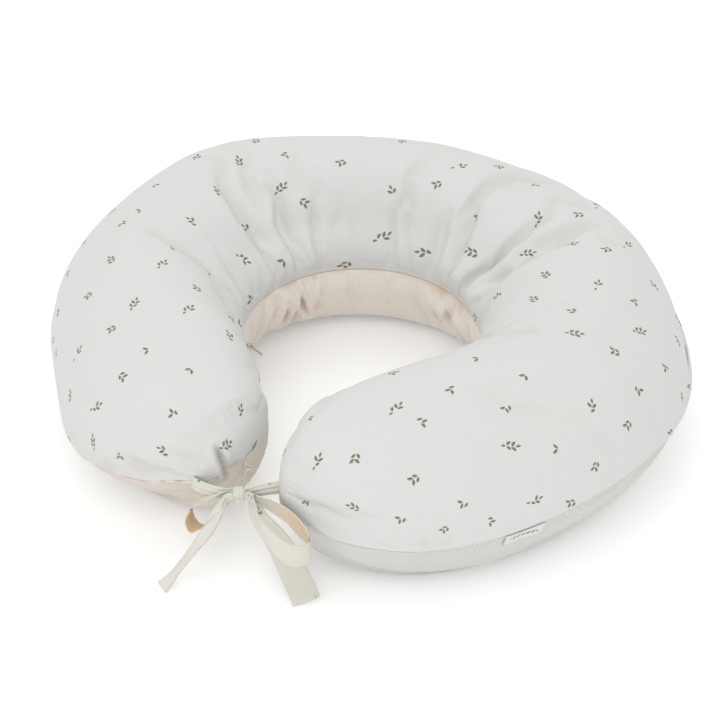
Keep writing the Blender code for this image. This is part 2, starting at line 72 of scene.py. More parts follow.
ZIP_MARGIN = math.radians(6.8)
ZIP_LIP_GAP = 0.00025
ZIP_LIP_TURN = 0.03
ZIP_FADE_TURN = 0.12
ZIP_FADE_DEPTH = 0.045

# Cloth simulation of the cover.  Along the tube: the share of its bend that the ties put in, and
# the cover's spare length, each as a base and bumps of (height, middle, width).
OPENED_SHARE = (
    0.08, (0.42, 0.14, 0.09), (0.22, -0.2, 0.09), (0.1, 0.56, 0.05), (0.2, -0.54, 0.06),
)
SLACK = (0.012, (0.028, 0.1, 0.16), (0.018, -0.22, 0.12), (0.012, -0.52, 0.08))
ARM_STEPS = 130
STATION_CROWDING = 1.25
SECTION_STEPS = 104
START_INSET = 0.003
FRAMES = 30
CLOSING_FRAMES = 14
CLOTH = {
    "quality": 5,
    "mass": 0.3,
    "tension_stiffness": 40,
    "compression_stiffness": 40,
    "shear_stiffness": 5,
    "bending_stiffness": 0.05,
    "tension_damping": 5,
    "compression_damping": 5,
    "shear_damping": 5,
    "bending_damping": 0.5,
    "air_damping": 1.0,
    "use_pressure": True,
    "uniform_pressure_force": 10.0,
    "vertex_group_mass": "hold",
    "pin_stiffness": 1.0,
}
MAX_SHIFT = 0.014
FLOOR_FADE = 0.04

# Fuller places of the stuffing: centre, move at the centre and reach.
FULLER = (
    ((0.03, -0.215, 0.09), (-0.02, -0.006, 0.0), 0.09),
    ((0.33, 0.000, 0.09), (0.015, 0.003, 0.0), 0.15),
    ((0.23, 0.23, 0.11), (0.009, 0.009, 0.0), 0.12),
    ((-0.045, -0.195, 0.1), (0.019, 0.005, 0.0), 0.07),
    ((-0.245, 0.165, 0.11), (-0.014, 0.008, 0.0), 0.11),
    ((-0.265, -0.16, 0.09), (0.005, 0.002, 0.0), 0.08),
    ((-0.18, -0.24, 0.05), (-0.007, -0.012, 0.0), 0.07),
)
# Creases pressed in by the pull of the seams: from, to, width and depth, in the pillow frame.
CREASES = (
    ((-0.097, 0.061, 0.081), (-0.099, 0.093, 0.022), 0.0028, 0.0052),
    ((-0.102, 0.053, 0.072), (-0.119, 0.07, 0.02), 0.0034, 0.0045),
    ((0.035, 0.11, 0.081), (0.0415, 0.12, 0.03), 0.0028, 0.0052),
    ((0.0525, 0.1, 0.081), (0.056, 0.112, 0.035), 0.0034, 0.004),
    ((-0.0375, -0.238, 0.117), (-0.03, -0.23, 0.076), 0.0032, 0.01),
)
CREASE_LIP = 0.35
TIP_SEAM = (-0.046, -0.248, 0.0986)
TIP_SEAM_PULLED = (-0.045, -0.246, 0.086)
TIP_PULL_REACH = 0.024
# The waist wall that the zip holds taut: how far it is smoothed, where along the tube, and
# between which section angles.
TAUT_WALL = 0.75
TAUT_ALONG = (-0.06, 0.17)
TAUT_AROUND = (math.pi, 1.75 * math.pi)

# How far the rim's underside is tucked in along the tube, as bumps.
TUCK = ((0.023, -0.575, 0.075), (0.01, 0.4, 0.12))
TAPE_DEPTH = 0.012
SLIDER_REACH = 0.005

# How firmly the simulated skin is held to the tied shape; the underside, which lies on the floor,
# is held fast.
UNDERSIDE = (math.radians(235.0), math.radians(305.0))
FREE_HOLD = 0.02
OUTER_SEAM_HOLD = 0.6
WAIST_SEAM_HOLD = 0.9
TIP_RINGS_HELD = 6

# Height of the gathers along the outer and the waist seam, as a base and bumps.
OUTER_GATHERS = (
    0.0005, (0.0028, 0.56, 0.045), (0.002, 0.45, 0.04), (0.0014, -0.575, 0.05), (0.0006, 0.2, 0.1),
)
WAIST_GATHERS = (
    0.0005, (0.001, 0.16, 0.07), (0.0008, -0.22, 0.05), (0.0012, -0.6, 0.04), (0.0012, 0.61, 0.04),
)

# Reach, spacing and random seed of the gathers.
OUTER_GATHER = (0.026, 0.012, 11)
WAIST_GATHER = (0.017, 0.010, 12)

# Seams: (share of the way to the next row, depth below the skin) from the hem outwards.
HEM_PROFILE = ((0.0, 0.004), (0.0, 0.0016), (0.1, 0.0008), (0.3, 0.0003), (0.6, 0.0001))
SEAM_GAP = 0.0001
# Creases: depth at which the painted tan shade is full, passes of the blur that finds them, and the
# share below which none is painted.
HOLLOW_DEPTH = 0.0016
HOLLOW_BLUR = 30
HOLLOW_LEAST = 0.12

# Side label, a folded satin tape.
LABEL_LENGTH = 0.039
LABEL_SHIFT = -0.0065
LABEL_DROP = 0.015
LABEL_FOLD = 0.0008
LABEL_MARK_SPACING = 0.0046
LABEL_MARK_HALF = (0.0033, 0.0013, 1.0)
LABEL_MARKED = 0.0135
SATIN_THICKNESS = 0.0003
LABEL_STEPS = 28
LABEL_COLUMNS = 24
LABEL_PROFILE = (
    (0.0, 0.3), (0.1, 1.6), (0.3, 1.8), (0.55, 1.8), (0.8, 1.8), (0.95, 1.75), (1.0, 1.2),
    (0.95, 0.65), (0.8, 0.6), (0.55, 0.6), (0.3, 0.5), (0.1, 0.4),
)

# Ties.
TIE_THICKNESS = 0.001
TIE_WIDTH = 0.026
KNOT_WIDTH = 0.009
KNOT_LAYER = 0.0016
KNOT_CENTRE = np.array((-0.013, -0.247 + RING_CENTRE_Y, 0.078))
KNOT_ALONG = np.array((0.897, 0.443, 0.0)) / math.hypot(0.897, 0.443)
KNOT_OUT = np.array((0.443, -0.897, 0.0)) / math.hypot(0.897, 0.443)
UP = np.array((0.0, 0.0, 1.0))
BAND_STEPS = 48
BAND_ACROSS = 20
PLEATS = 2.5
PLEAT_IN_KNOT = 0.0005
PLEAT_OUTSIDE = 0.0014
FOLD_GAP = 0.0012

# Print: each leaf is (place), heading, length, width, chance channel and least chance.
SPRIG_SPACING = 0.05
SPRIG_SCATTER = 0.6
LEAVES = (
    ((-0.0042, 0.0021), 0.85, 0.0058, 0.0031, 1, 0.35),
    ((-0.003, -0.002), -0.5, 0.0054, 0.0029, 2, 0.35),
    ((0.0003, 0.0024), 1.1, 0.0064, 0.0032, 2, 0.0),
    ((0.0018, -0.0018), -0.35, 0.0062, 0.0031, 1, 0.0),
    ((0.0052, 0.0016), 0.45, 0.0056, 0.0027, 0, 0.5),
    ((-0.0082, -0.0012), 0.1, 0.0046, 0.0024, 0, 0.75),
)
LEAF_DARK = (0.075, 0.088, 0.033)
LEAF_LIGHT = (0.2, 0.215, 0.085)
STRIPE_PERIOD = 0.0022
# How strongly the pinstripe reads: everywhere, on the rim, more on its left, and at the left tip.
# The pinstripe is print; its added strength on the left and at the left tip is painted tan shade.
STRIPE_LEAST = 0.14
STRIPE_RIM = 0.1
STRIPE_LEFT = 0.5
STRIPE_TIP = 0.6
MUSLIN_GRAIN = (-0.95, 0.3, -0.05)
TIP_GRAIN = (-0.09, -0.47, 0.88)
TIP_GRAIN_JOIN = -0.545
TIP_GRAIN_BLEND = 0.09
TIP_GRAIN_INNER = 0.2

# Cloth colours, as linear reflectances.
COTTON = (0.668, 0.668, 0.652)
COTTON_SHADE = (0.655, 0.658, 0.645)
# Painted shade, tinted tan, in the creases of the cotton.
COTTON_PAINTED_SHADE = (0.62, 0.585, 0.515)
# Painted shade, tinted tan, inside the tie's loops.
TIE_PAINTED_SHADE = (0.76, 0.6, 0.4)
TIE_COTTON = (0.695, 0.678, 0.605)
TIE_COTTON_SHADE = (0.675, 0.66, 0.59)
MUSLIN = (0.83, 0.785, 0.725)
MUSLIN_SHADE = (0.81, 0.755, 0.69)
# Painted shade: the outer rim darker and greyer than the inner wall and the left tip.
MUSLIN_RIM_PAINTED_SHADE = (0.618, 0.611, 0.592)
# Painted shade, tinted tan, in the creases of the muslin.
MUSLIN_PAINTED_SHADE = (0.66, 0.45, 0.31)
STRIPE = (0.56, 0.46, 0.36)
CLOTH_SHEEN = 0.12
COTTON_THREAD = 0.0007
SATIN_THREAD = 0.0005
LABEL_WHITE = (0.7, 0.7, 0.68)
LABEL_SHADE = (0.66, 0.66, 0.64)
LABEL_INK = (0.06, 0.06, 0.055)

# Zip metal and nylon.
NICKEL = (0.62, 0.61, 0.59)
PULL_NICKEL = (0.58, 0.575, 0.555)
TAPE_NYLON = (0.7, 0.66, 0.58)
COIL_NYLON = (0.66, 0.63, 0.56)
TAPE_RIB_PITCH = 0.0009
COIL_PITCH = 0.0013

# Studio: each light is its name, place, size and power.
FLOOR_HALF = 8.0
FLOOR_HEIGHT = -0.0003
FLOOR_WHITE = (0.97, 0.97, 0.97)
FLOOR_GLOW_COLOUR = (0.93, 0.98, 1.0, 1.0)
FLOOR_GLOW = 0.13
WORLD_STRENGTH = 0.905
LIGHTS = (
    ("key_light", (-0.5, 1.0, 2.2), 1.8, 6.0),
    ("front_light", (0.2, -1.5, 1.9), 1.6, 11.0),
)

# Camera.
CAMERA_AZIMUTH = math.radians(23.3)
CAMERA_ELEVATION = math.radians(36.6)
CAMERA_DISTANCE = 2.0
CAMERA_TARGET = Vector((0.0, RING_CENTRE_Y, 0.07))
CAMERA_LENS = 100.25
CAMERA_SHIFT_Y = -0.007


# ---- the tube's form


def smooth(t):
    """Ease from 0 to 1."""
    t = min(max(t, 0.0), 1.0)
    return (1.0 - math.cos(math.pi * t)) / 2.0


MAIN_LENGTH = (WAIST_RADIUS + HALF_WIDTH_SIDE) * MAIN_ARC
HALF_LENGTH = MAIN_LENGTH + END_ARC_RADIUS * (TIP_HEADING - MAIN_ARC) + TIP_STRAIGHT


def half_width(s):
    """Half the tube's width at distance s along one arm."""
    u = abs(s) / HALF_LENGTH
    if u < 0.5:
        return HALF_WIDTH_BACK + (HALF_WIDTH_SIDE - HALF_WIDTH_BACK) * smooth(u / 0.5)
    return HALF_WIDTH_SIDE + (HALF_WIDTH_TIP - HALF_WIDTH_SIDE) * smooth(u / 0.5 - 1.0)


def height(s):
    """The tube's height at distance s along one arm."""
    return HEIGHT_BACK + (HEIGHT_TIP - HEIGHT_BACK) * abs(s) / HALF_LENGTH


def centreline(s):
    """Centre point in plan and heading at signed distance s; +X side is positive."""
    side = -1.0 if s < 0.0 else 1.0
    s = abs(s)
    if s <= MAIN_LENGTH:
        angle = MAIN_ARC * s / MAIN_LENGTH
        radius = WAIST_RADIUS + half_width(s)
        x, y = radius * math.sin(angle), radius * math.cos(angle)
    else:
        angle = min(MAIN_ARC + (s - MAIN_LENGTH) / END_ARC_RADIUS, TIP_HEADING)
        offset = WAIST_RADIUS + half_width(MAIN_LENGTH) - END_ARC_RADIUS
        straight = max(s - (HALF_LENGTH - TIP_STRAIGHT), 0.0)
        x = offset * math.sin(MAIN_ARC) + END_ARC_RADIUS * math.sin(angle)
        y = offset * math.cos(MAIN_ARC) + END_ARC_RADIUS * math.cos(angle)
        x += straight * math.cos(angle)
        y -= straight * math.sin(angle)
    return side * x, y + RING_CENTRE_Y, side * angle


def tip_factor(s, inset):
    """1 along the arm, rounding off to 0 at the tip."""
    start = HALF_LENGTH - inset - TIP_ROUNDING
    k = min(max((abs(s) - start) / TIP_ROUNDING, 0.0), 1.0)
    return (1.0 - k**TIP_POWER) ** (1.0 / TIP_POWER)


def section_offset(s, angle, inset):
    """Distance outwards from the centreline, and height, of a point of the skin."""
    rounding = tip_factor(s, inset)
    across, lift = math.cos(angle), math.sin(angle)
    power = 2.0 / (TOP_POWER if lift >= 0.0 else BOTTOM_POWER)
    reach = (height(s) - SEAM_HEIGHT if lift >= 0.0 else SEAM_HEIGHT + FLOOR_SINK) - inset
    reach *= TIP_SQUARENESS * rounding + (1.0 - TIP_SQUARENESS) * math.sqrt(rounding)
    z = SEAM_HEIGHT + math.copysign(abs(lift) ** power, lift) * reach
    width = (half_width(s) - inset) * rounding
    return width * math.copysign(abs(across) ** power, across), max(z, inset)


def skin_point(s, angle, inset=0.0):
    """A point of the skin: angle is 0 at the outer seam, 90 degrees on top, 180 at the waist."""
    x, y, heading = centreline(s)
    out, z = section_offset(s, angle, inset)
    return Vector((x + out * math.sin(heading), y + out * math.cos(heading), z))


def seam_sag(s):
    """Angle by which the outer seam lies below the widest line at a station."""
    start = (abs(s) - SEAM_SAG_START[0]) / (SEAM_SAG_START[1] - SEAM_SAG_START[0])
    end = (HALF_LENGTH - abs(s)) / SEAM_SAG_END
    return (SEAM_SAG_LEFT if s < 0.0 else SEAM_SAG_RIGHT) * smooth(start) * smooth(end)


def turned(s, angle):
    """A section angle shifted so that 0 lies on the outer seam and 180 degrees stays put."""
    return angle - seam_sag(s) * (1.0 + math.cos(angle)) / 2.0


def stations(count, inset=0.0):
    """Signed distances from the left tip to the right tip, closer at the tips."""
    length = HALF_LENGTH - inset
    arm = [length * (1.0 - (1.0 - i / count) ** STATION_CROWDING) for i in range(count + 1)]
    return [-s for s in reversed(arm[1:])] + arm


def bump(x, middle, width):
    """A smooth bump of height 1, for a number or an array."""
    exponential = np.exp if isinstance(x, np.ndarray) else math.exp
    return exponential(-(((x - middle) / width) ** 2))


def profile(s, base, *bumps):
    """A base value with bumps of (height, middle, width) along the tube."""
    value = base
    for height_at_middle, middle, width in bumps:
        value = value + height_at_middle * bump(s, middle, width)
    return value


# ---- simulation


def skin_grid(rows, angles, inset):
    """Points of the skin, as an array of rows by angles by 3."""
    return np.array([[skin_point(s, turned(s, angle), inset) for angle in angles] for s in rows])


def relaxed_grid(rows, angles):
    """The skin as it was sewn, before the ties bent it: the same sections on a straighter tube."""
    frames = [centreline(s) for s in rows]
    sections = [[section_offset(s, turned(s, angle), 0.0) for angle in angles] for s in rows]
    middle = len(rows) // 2
    places = {middle: frames[middle]}
    for direction in (1, -1):
        i = middle
        while 0 <= i + direction < len(rows):
            x0, y0, h0 = frames[i]
            x1, y1, h1 = frames[i + direction]
            mean = (h0 + h1) / 2.0
            along = (x1 - x0) * math.cos(mean) - (y1 - y0) * math.sin(mean)
            outward = (x1 - x0) * math.sin(mean) + (y1 - y0) * math.cos(mean)
            px, py, ph = places[i]
            middle_s = (rows[i] + rows[i + direction]) / 2.0
            turn = (h1 - h0) * (1.0 - profile(middle_s, *OPENED_SHARE))
            stretch = 1.0 + profile(middle_s, *SLACK)
            new_mean = ph + turn / 2.0
            px += stretch * (along * math.cos(new_mean) + outward * math.sin(new_mean))
            py += stretch * (-along * math.sin(new_mean) + outward * math.cos(new_mean))
            places[i + direction] = (px, py, ph + turn)
            i += direction
    grid = np.empty((len(rows), len(angles), 3))
    for i in range(len(rows)):
        px, py, ph = places[i]
        for j, (out, z) in enumerate(sections[i]):
            grid[i, j] = (px + out * math.sin(ph), py + out * math.cos(ph), z)
    return grid


def linked(name, data):
    """A new object in the scene."""
    obj = bpy.data.objects.new(name, data)
    bpy.context.scene.collection.objects.link(obj)
    return obj


def closed_skin(grid):
    """Vertices and faces of a grid closed at both tips."""
    rings, turns = grid.shape[0] - 2, grid.shape[1]
    verts = [tuple(p) for p in grid[1:-1].reshape(-1, 3)]
    verts += [tuple(grid[0].mean(axis=0)), tuple(grid[-1].mean(axis=0))]
    first, last = len(verts) - 2, len(verts) - 1
    faces = []
    for i in range(rings - 1):
        for j in range(turns):
            k = (j + 1) % turns
            faces.append((i * turns + j, i * turns + k, (i + 1) * turns + k, (i + 1) * turns + j))
    for j in range(turns):
        k = (j + 1) % turns
        faces.append((first, j, k)[::-1])
        faces.append((last, (rings - 1) * turns + k, (rings - 1) * turns + j)[::-1])
    return verts, faces


def simulate(grid, relaxed, hold):
    """Close the sewn skin to its tied shape under pressure, with cloth simulation.

    The cloth starts as the relaxed skin, so its rest lengths are the sewn ones.  The held
    vertices travel to the tied shape, and the cloth between them follows and crumples.
    """
    verts, faces = closed_skin(relaxed)
    mesh = bpy.data.meshes.new("skin_simulation")
    mesh.from_pydata(verts, [], faces)
    obj = linked("skin_simulation", mesh)
    obj.shape_key_add(name="Basis")
    key = obj.shape_key_add(name="tied")
    key.data.foreach_set("co", np.array(closed_skin(grid)[0]).ravel())
    group = obj.vertex_groups.new(name="hold")
    weights = np.append(hold[1:-1].ravel(), (1.0, 1.0))
    for index, weight in enumerate(weights):
        group.add([index], float(weight), "REPLACE")
    cloth = obj.modifiers.new("cloth", "CLOTH")
    for setting, value in CLOTH.items():
        setattr(cloth.settings, setting, value)
    cloth.settings.effector_weights.gravity = 0.0
    cloth.collision_settings.use_collision = False
    cloth.point_cache.frame_start = 1
    cloth.point_cache.frame_end = FRAMES
    for step, value in ((1, 0.0), (CLOSING_FRAMES, 1.0)):
        key.value = value
        key.keyframe_insert("value", frame=step)
    for step in range(1, FRAMES + 1):
        bpy.context.scene.frame_set(step)
    evaluated = obj.evaluated_get(bpy.context.evaluated_depsgraph_get())
    result = np.empty(len(verts) * 3)
    evaluated.data.vertices.foreach_get("co", result)
    result = result.reshape(-1, 3)
    bpy.data.objects.remove(obj, do_unlink=True)
    bpy.context.scene.frame_set(1)
    moved = grid.copy()
    moved[1:-1] = result[:-2].reshape(moved[1:-1].shape)
    moved[0] = result[-2]
    moved[-1] = result[-1]
    return moved


# ---- cover surface


def hold_weights(rows, angles):
    """How firmly each vertex is held on the tied shape: 1 underneath, less along the seams."""
    hold = np.full((len(rows), len(angles)), FREE_HOLD)
    for j, angle in enumerate(angles):
        if UNDERSIDE[0] < angle < UNDERSIDE[1]:
            hold[:, j] = 1.0
    hold[:, 0] = OUTER_SEAM_HOLD
    hold[:, len(angles) // 2] = WAIST_SEAM_HOLD
    hold[:TIP_RINGS_HELD] = 1.0
    hold[-TIP_RINGS_HELD:] = 1.0
    return hold


def limited(moved, start):
    """The simulated skin, kept near the CAD form and above the floor."""
    shift = blurred(moved - start, 1)
    size = np.linalg.norm(shift, axis=2, keepdims=True)
    points = start + shift * np.minimum(1.0, MAX_SHIFT / np.maximum(size, 1e-9))
    near_floor = np.clip(1.0 - points[..., 2] / FLOOR_FADE, 0.0, 1.0)
    points[..., 2] = np.maximum(points[..., 2] - START_INSET * near_floor, 0.0)
    return points


def settled(points, rows, angles):
    """The skin with the stuffing's settled form: fuller places, and a rim tucked under."""
    for centre, move, reach in FULLER:
        points = drawn(points, centre, move, reach)
    for i, s in enumerate(rows):
        heading = centreline(s)[2]
        out = np.array((math.sin(heading), math.cos(heading), 0.0))
        tuck = profile(s, 0.0, *TUCK)
        for j, angle in enumerate(angles):
            below = (2.0 * math.pi - angle) / (0.5 * math.pi)
            if 0.0 < below < 1.0:
                points[i, j] -= out * (tuck * math.sin(math.pi * below))
    return points


def from_zip_ends(points, row):
    """Angles past each end of the zip's opening, positive inside it, along a grid row."""
    turn = np.arctan2(points[:, row, 0], points[:, row, 1] - RING_CENTRE_Y)
    return turn - (ZIP_START - ZIP_MARGIN), ZIP_START + ZIP_SWEEP + ZIP_MARGIN - turn


def clear_of_zip(points, rows, angles):
    """Keep the waist wall outside the zip tapes, and flat where the slider runs."""
    wall = skin_grid(rows, angles, 0.0002)
    normals = surface_normals(wall)
    waist = len(angles) // 2
    depth = np.zeros(wall.shape[:2])
    for direction in (1, -1):
        order, arc = arc_from_row(wall, waist, direction)
        depth[:, order] = arc
    inside = np.minimum(*from_zip_ends(wall, waist)) / ZIP_FADE_TURN + 1.0
    along = np.clip(inside, 0.0, 1.0)[:, None]
    fade = np.clip(1.0 - (depth - TAPE_DEPTH) / ZIP_FADE_DEPTH, 0.0, 1.0)
    near = along * fade * fade * (3.0 - 2.0 * fade)
    out = ((points - wall) * normals).sum(axis=2)
    valley = lowest_near(out, 7)
    most = 0.5 * np.maximum(depth - SLIDER_REACH, 0.0) + 0.05 * (1.0 - along)
    kept = np.minimum(np.maximum(out - valley, 0.0), most)
    points = points + normals * (near * (kept - out))[..., None]
    seam = along * np.clip(1.0 - (depth - 0.002) / 0.01, 0.0, 1.0)
    return points + (wall - points) * seam[..., None]


def neighbours(grid):
    """The sum of each row's two neighbours along the tube."""
    return np.concatenate((grid[:1], grid[:-1])) + np.concatenate((grid[1:], grid[-1:]))


def lowest_near(values, reach):
    """The smoothed lowest value of each row's neighbours along the tube."""
    lowest = values.copy()
    for step in range(1, reach + 1):
        lowest[step:] = np.minimum(lowest[step:], values[:-step])
        lowest[:-step] = np.minimum(lowest[:-step], values[step:])
    for _ in range(2 * reach):
        lowest = 0.5 * lowest + 0.25 * neighbours(lowest)
    return lowest


def doubled(grid):
    """A grid at twice the density by cubic interpolation: ends open along the tube, turns closed."""
    before = np.concatenate((grid[:1], grid[:-1]))
    after = np.concatenate((grid[1:], grid[-1:]))
    beyond = np.concatenate((grid[2:], grid[-1:], grid[-1:]))
    middle = (9.0 * (grid + after) - before - beyond)[:-1] / 16.0
    along = np.empty((2 * grid.shape[0] - 1, *grid.shape[1:]))
    along[0::2], along[1::2] = grid, middle
    side = np.roll(along, -1, axis=1)
    middle = (9.0 * (along + side) - np.roll(along, 1, axis=1) - np.roll(along, -2, axis=1)) / 16.0
    dense = np.empty((along.shape[0], 2 * along.shape[1], *along.shape[2:]))
    dense[:, 0::2], dense[:, 1::2] = along, middle
    return dense


def doubled_row(values):
    """The stations of a doubled grid."""
    dense = np.empty(2 * len(values) - 1)
    dense[0::2] = values
    dense[1::2] = (np.array(values[1:]) + np.array(values[:-1])) / 2.0
    return dense


def surface_normals(points):
    """Outward unit normals of a grid whose turns are closed."""
    along = np.gradient(points, axis=0)
    around = np.roll(points, -1, axis=1) - np.roll(points, 1, axis=1)
    normals = np.cross(around, along)
    normals /= np.maximum(np.linalg.norm(normals, axis=2, keepdims=True), 1e-12)
    return normals


def noise_row(positions, spacing, seed):
    """Smooth noise from -1 to 1 along a line, with features about one spacing long."""
    values = np.random.default_rng(seed).uniform(-1.0, 1.0, 4096)
    place = np.asarray(positions) / spacing + 2000.0
    index = np.floor(place).astype(int)
    t = place - index
    t = t * t * (3.0 - 2.0 * t)
    return values[index] * (1.0 - t) + values[index + 1] * t


def arc_from_row(points, row, direction):
    """Arc length around each section from one row, for every row in one direction."""
    turns = points.shape[1]
    order = [(row + direction * k) % turns for k in range(turns // 2 + 1)]
    steps = np.linalg.norm(np.diff(points[:, order], axis=1), axis=2)
    return order, np.concatenate((np.zeros((len(points), 1)), np.cumsum(steps, axis=1)), axis=1)


def add_puckers(points, s):
    """Gathers on both sides of the outer seam, and small ones along the waist seam."""
    normals = surface_normals(points)
    outer = profile(s, *OUTER_GATHERS)
    waist = profile(s, *WAIST_GATHERS)
    gathers = ((0, outer, *OUTER_GATHER), (points.shape[1] // 2, waist, *WAIST_GATHER))
    shift = np.zeros(points.shape[:2])
    for row, amplitude, reach, spacing, seed in gathers:
        wave = noise_row(s, spacing, seed) + 0.5 * noise_row(s, 0.55 * spacing, seed + 50)
        wave = np.maximum(wave, -0.9 if row == 0 else -0.15)
        for direction in (1, -1):
            order, arc = arc_from_row(points, row, direction)
            length = reach * (1.0 + 0.6 * noise_row(s, 0.03, seed + 9 + direction))
            fade = np.exp(-arc / length[:, None]) * np.minimum(arc / 0.004, 1.0)
            used = slice(1, len(order) - 1)
            shift[:, order[used]] += (amplitude * wave)[:, None] * fade[:, used]
    tips = np.clip((HALF_LENGTH - np.abs(s)) / 0.02, 0.0, 1.0)
    return points + normals * (shift * tips[:, None])[..., None]


def carve(points, start, end, width, depth):
    """Press a crease between two points into the skin, with raised lips beside it."""
    a, b = np.array(start), np.array(end)
    axis = b - a
    t = np.clip(((points - a) @ axis) / (axis @ axis), 0.0, 1.0)
    nearest = a + t[..., None] * axis
    gap = np.linalg.norm(points - nearest, axis=2)
    ends = np.sin(np.pi * np.clip(0.12 + 0.76 * t, 0.0, 1.0))
    shape = -bump(gap, 0.0, width) + CREASE_LIP * bump(gap, 2.0 * width, width)
    return points + surface_normals(points) * (depth * shape * ends)[..., None]


def drawn(points, centre, move, reach):
    """Move the skin near a point, less and less with the distance from it."""
    gap = np.linalg.norm(points - np.array(centre), axis=2)
    return points + np.array(move) * bump(gap, 0.0, reach)[..., None]


def blurred(grid, passes):
    """A grid smoothed by repeated averaging with its neighbours."""
    for _ in range(passes):
        around = np.roll(grid, 1, axis=1) + np.roll(grid, -1, axis=1)
        grid = 0.5 * grid + 0.125 * (neighbours(grid) + around)
    return grid


def taut(points, start, rows, angles):
    """Draw the middle of the waist wall, which the zip holds taut, back to its smooth form."""
    along = np.array([bump(s, *TAUT_ALONG) for s in rows])
    first, last = TAUT_AROUND
    around = np.array([smooth((a - first) / 0.35) * smooth((last - a) / 0.5) for a in angles])
    share = TAUT_WALL * along[:, None] * around[None, :]
    return points + (start - points) * share[..., None]


def pressed(points):
    """The creases at the ends of the waist wall and the pull of the tie on the left tip."""
    points = drawn(points, at(*TIP_SEAM), at(*TIP_SEAM_PULLED) - at(*TIP_SEAM), TIP_PULL_REACH)
    for start, end, width, depth in CREASES:
        points = carve(points, at(*start), at(*end), width, depth)
    return points


def hollows(points):
    """How deep each point lies in a crease, from 0 to 1."""
    fine = ((blurred(points, HOLLOW_BLUR) - points) * surface_normals(points)).sum(axis=2)
    return np.clip(blurred(fine, 2) / HOLLOW_DEPTH - HOLLOW_LEAST, 0.0, 1.0)


def cover_points(coarse_rows, angles):
    """The finished skin: simulated, made denser, and given its gathers and creases."""
    start = skin_grid(coarse_rows, angles, START_INSET)
    relaxed = relaxed_grid(coarse_rows, angles)
    points = simulate(start, relaxed, hold_weights(coarse_rows, angles))
    points = taut(limited(points, start), start, coarse_rows, angles)
    points = settled(points, coarse_rows, angles)
    points = doubled(clear_of_zip(points, coarse_rows, angles))
    for end in (0, -1):
        points[end] = points[end].mean(axis=0)
    fine_rows = doubled_row(coarse_rows)
    points = pressed(add_puckers(points, fine_rows))
    points[..., 2] = np.maximum(points[..., 2], 0.0)
    return points, fine_rows


# ---- panels


def flat_coordinates(rest, rows, upper):
    """Where each skin point lies on the flat cut of its panel, in metres.

    The top panel's cut is its plan, spread outwards by what the curve of the rim takes up.  The
    bottom panel's pinstripe lies in parallel planes, and its grain turns towards the left tip.
    """
    if not upper:
        across = rest @ np.array(MUSLIN_GRAIN)
        at_tip = rest @ np.array(TIP_GRAIN)
        join = int(np.argmin(np.abs(rows - TIP_GRAIN_JOIN)))
        low = int(0.875 * rest.shape[1])
        at_tip += across[join, low] - at_tip[join, low]
        turns = np.arange(rest.shape[1]) / rest.shape[1]
        inner = np.clip((0.86 - turns) / 0.16, 0.0, 1.0) * TIP_GRAIN_INNER
        share = 0.5 + (TIP_GRAIN_JOIN + inner[None, :] - rows[:, None]) / TIP_GRAIN_BLEND
        share = np.clip(share, 0.0, 1.0)
        across += share * share * (3.0 - 2.0 * share) * (at_tip - across)
        return np.stack((across, rest[..., 1]), axis=-1)
    rise = HEIGHT_BACK - rest[..., 2]
    span = HEIGHT_BACK - SEAM_HEIGHT
    out = blurred(surface_normals(rest), 12)[..., :2]
    out = out / np.maximum(np.linalg.norm(out, axis=2, keepdims=True), 1e-6)
    return rest[..., :2] + out * (rise**2 / (2.0 * span))[..., None]


def edge_rows(points, normals, edge, inner, opening):
    """Extra rows that round a panel's sewn edge over and turn its hem in.

    edge and inner are the grid rows at the seam and beside it; opening moves the edge up or
    down at the zip.
    """
    rows = []
    for share, depth in HEM_PROFILE:
        row = points[:, edge] * (1.0 - share) + points[:, inner] * share
        row = row - normals[:, edge] * depth
        row[:, 2] += opening * (1.0 - share)
        rows.append(row)
    return rows


def zip_opening(points, row):
    """Half the gap between the zip's lips along the waist seam."""
    first, last = (np.clip(end / ZIP_LIP_TURN, 0.0, 1.0) for end in from_zip_ends(points, row))
    return ZIP_LIP_GAP * first * last


def muslin_tones(points, rows):
    """How strongly the pinstripe reads, with painted tan shade on the left, and how far each point
    lies on the outer rim.
    """
    s = rows[:, None]
    turns = points.shape[1]
    outward = 0.5 + 0.5 * np.cos(2.0 * math.pi * np.arange(turns) / turns)[None, :]
    tip = bump(s, -HALF_LENGTH, 0.1)
    left = np.clip(0.5 - s / 0.4, 0.0, 1.0)
    # The pinstripe's strength: print, with painted tan shade added on the left and at the left tip.
    stripes_and_painted_tan = STRIPE_LEAST + outward * (STRIPE_RIM + STRIPE_LEFT * left) + STRIPE_TIP * tip
    # Share of painted shade on the outer rim, kept mostly off the left tip.
    rim = np.clip(1.6 * outward - 0.2, 0.0, 1.0) * (1.0 - 0.8 * tip)
    return np.clip(stripes_and_painted_tan, 0.0, 1.0), rim


def grid_quads(count, across):
    """Vertex numbers of each face of a grid."""
    index = np.arange(count * across).reshape(count, across)
    quads = np.stack((index[:-1, :-1], index[:-1, 1:], index[1:, 1:], index[1:, :-1]), axis=-1)
    return quads.reshape(-1, 4)


def cloth_mesh(name, verts, quads, cells, tones):
    """A smooth mesh with its flat coordinates and its point attributes."""
    mesh = bpy.data.meshes.new(name)
    mesh.from_pydata(verts.tolist(), [], quads.tolist())
    layer = mesh.uv_layers.new(name="flat")
    layer.data.foreach_set("uv", cells[quads.ravel()].ravel())
    for tone, values in tones.items():
        layer = mesh.attributes.new(tone, "FLOAT", "POINT")
        layer.data.foreach_set("value", values.ravel())
    mesh.shade_smooth()
    return mesh


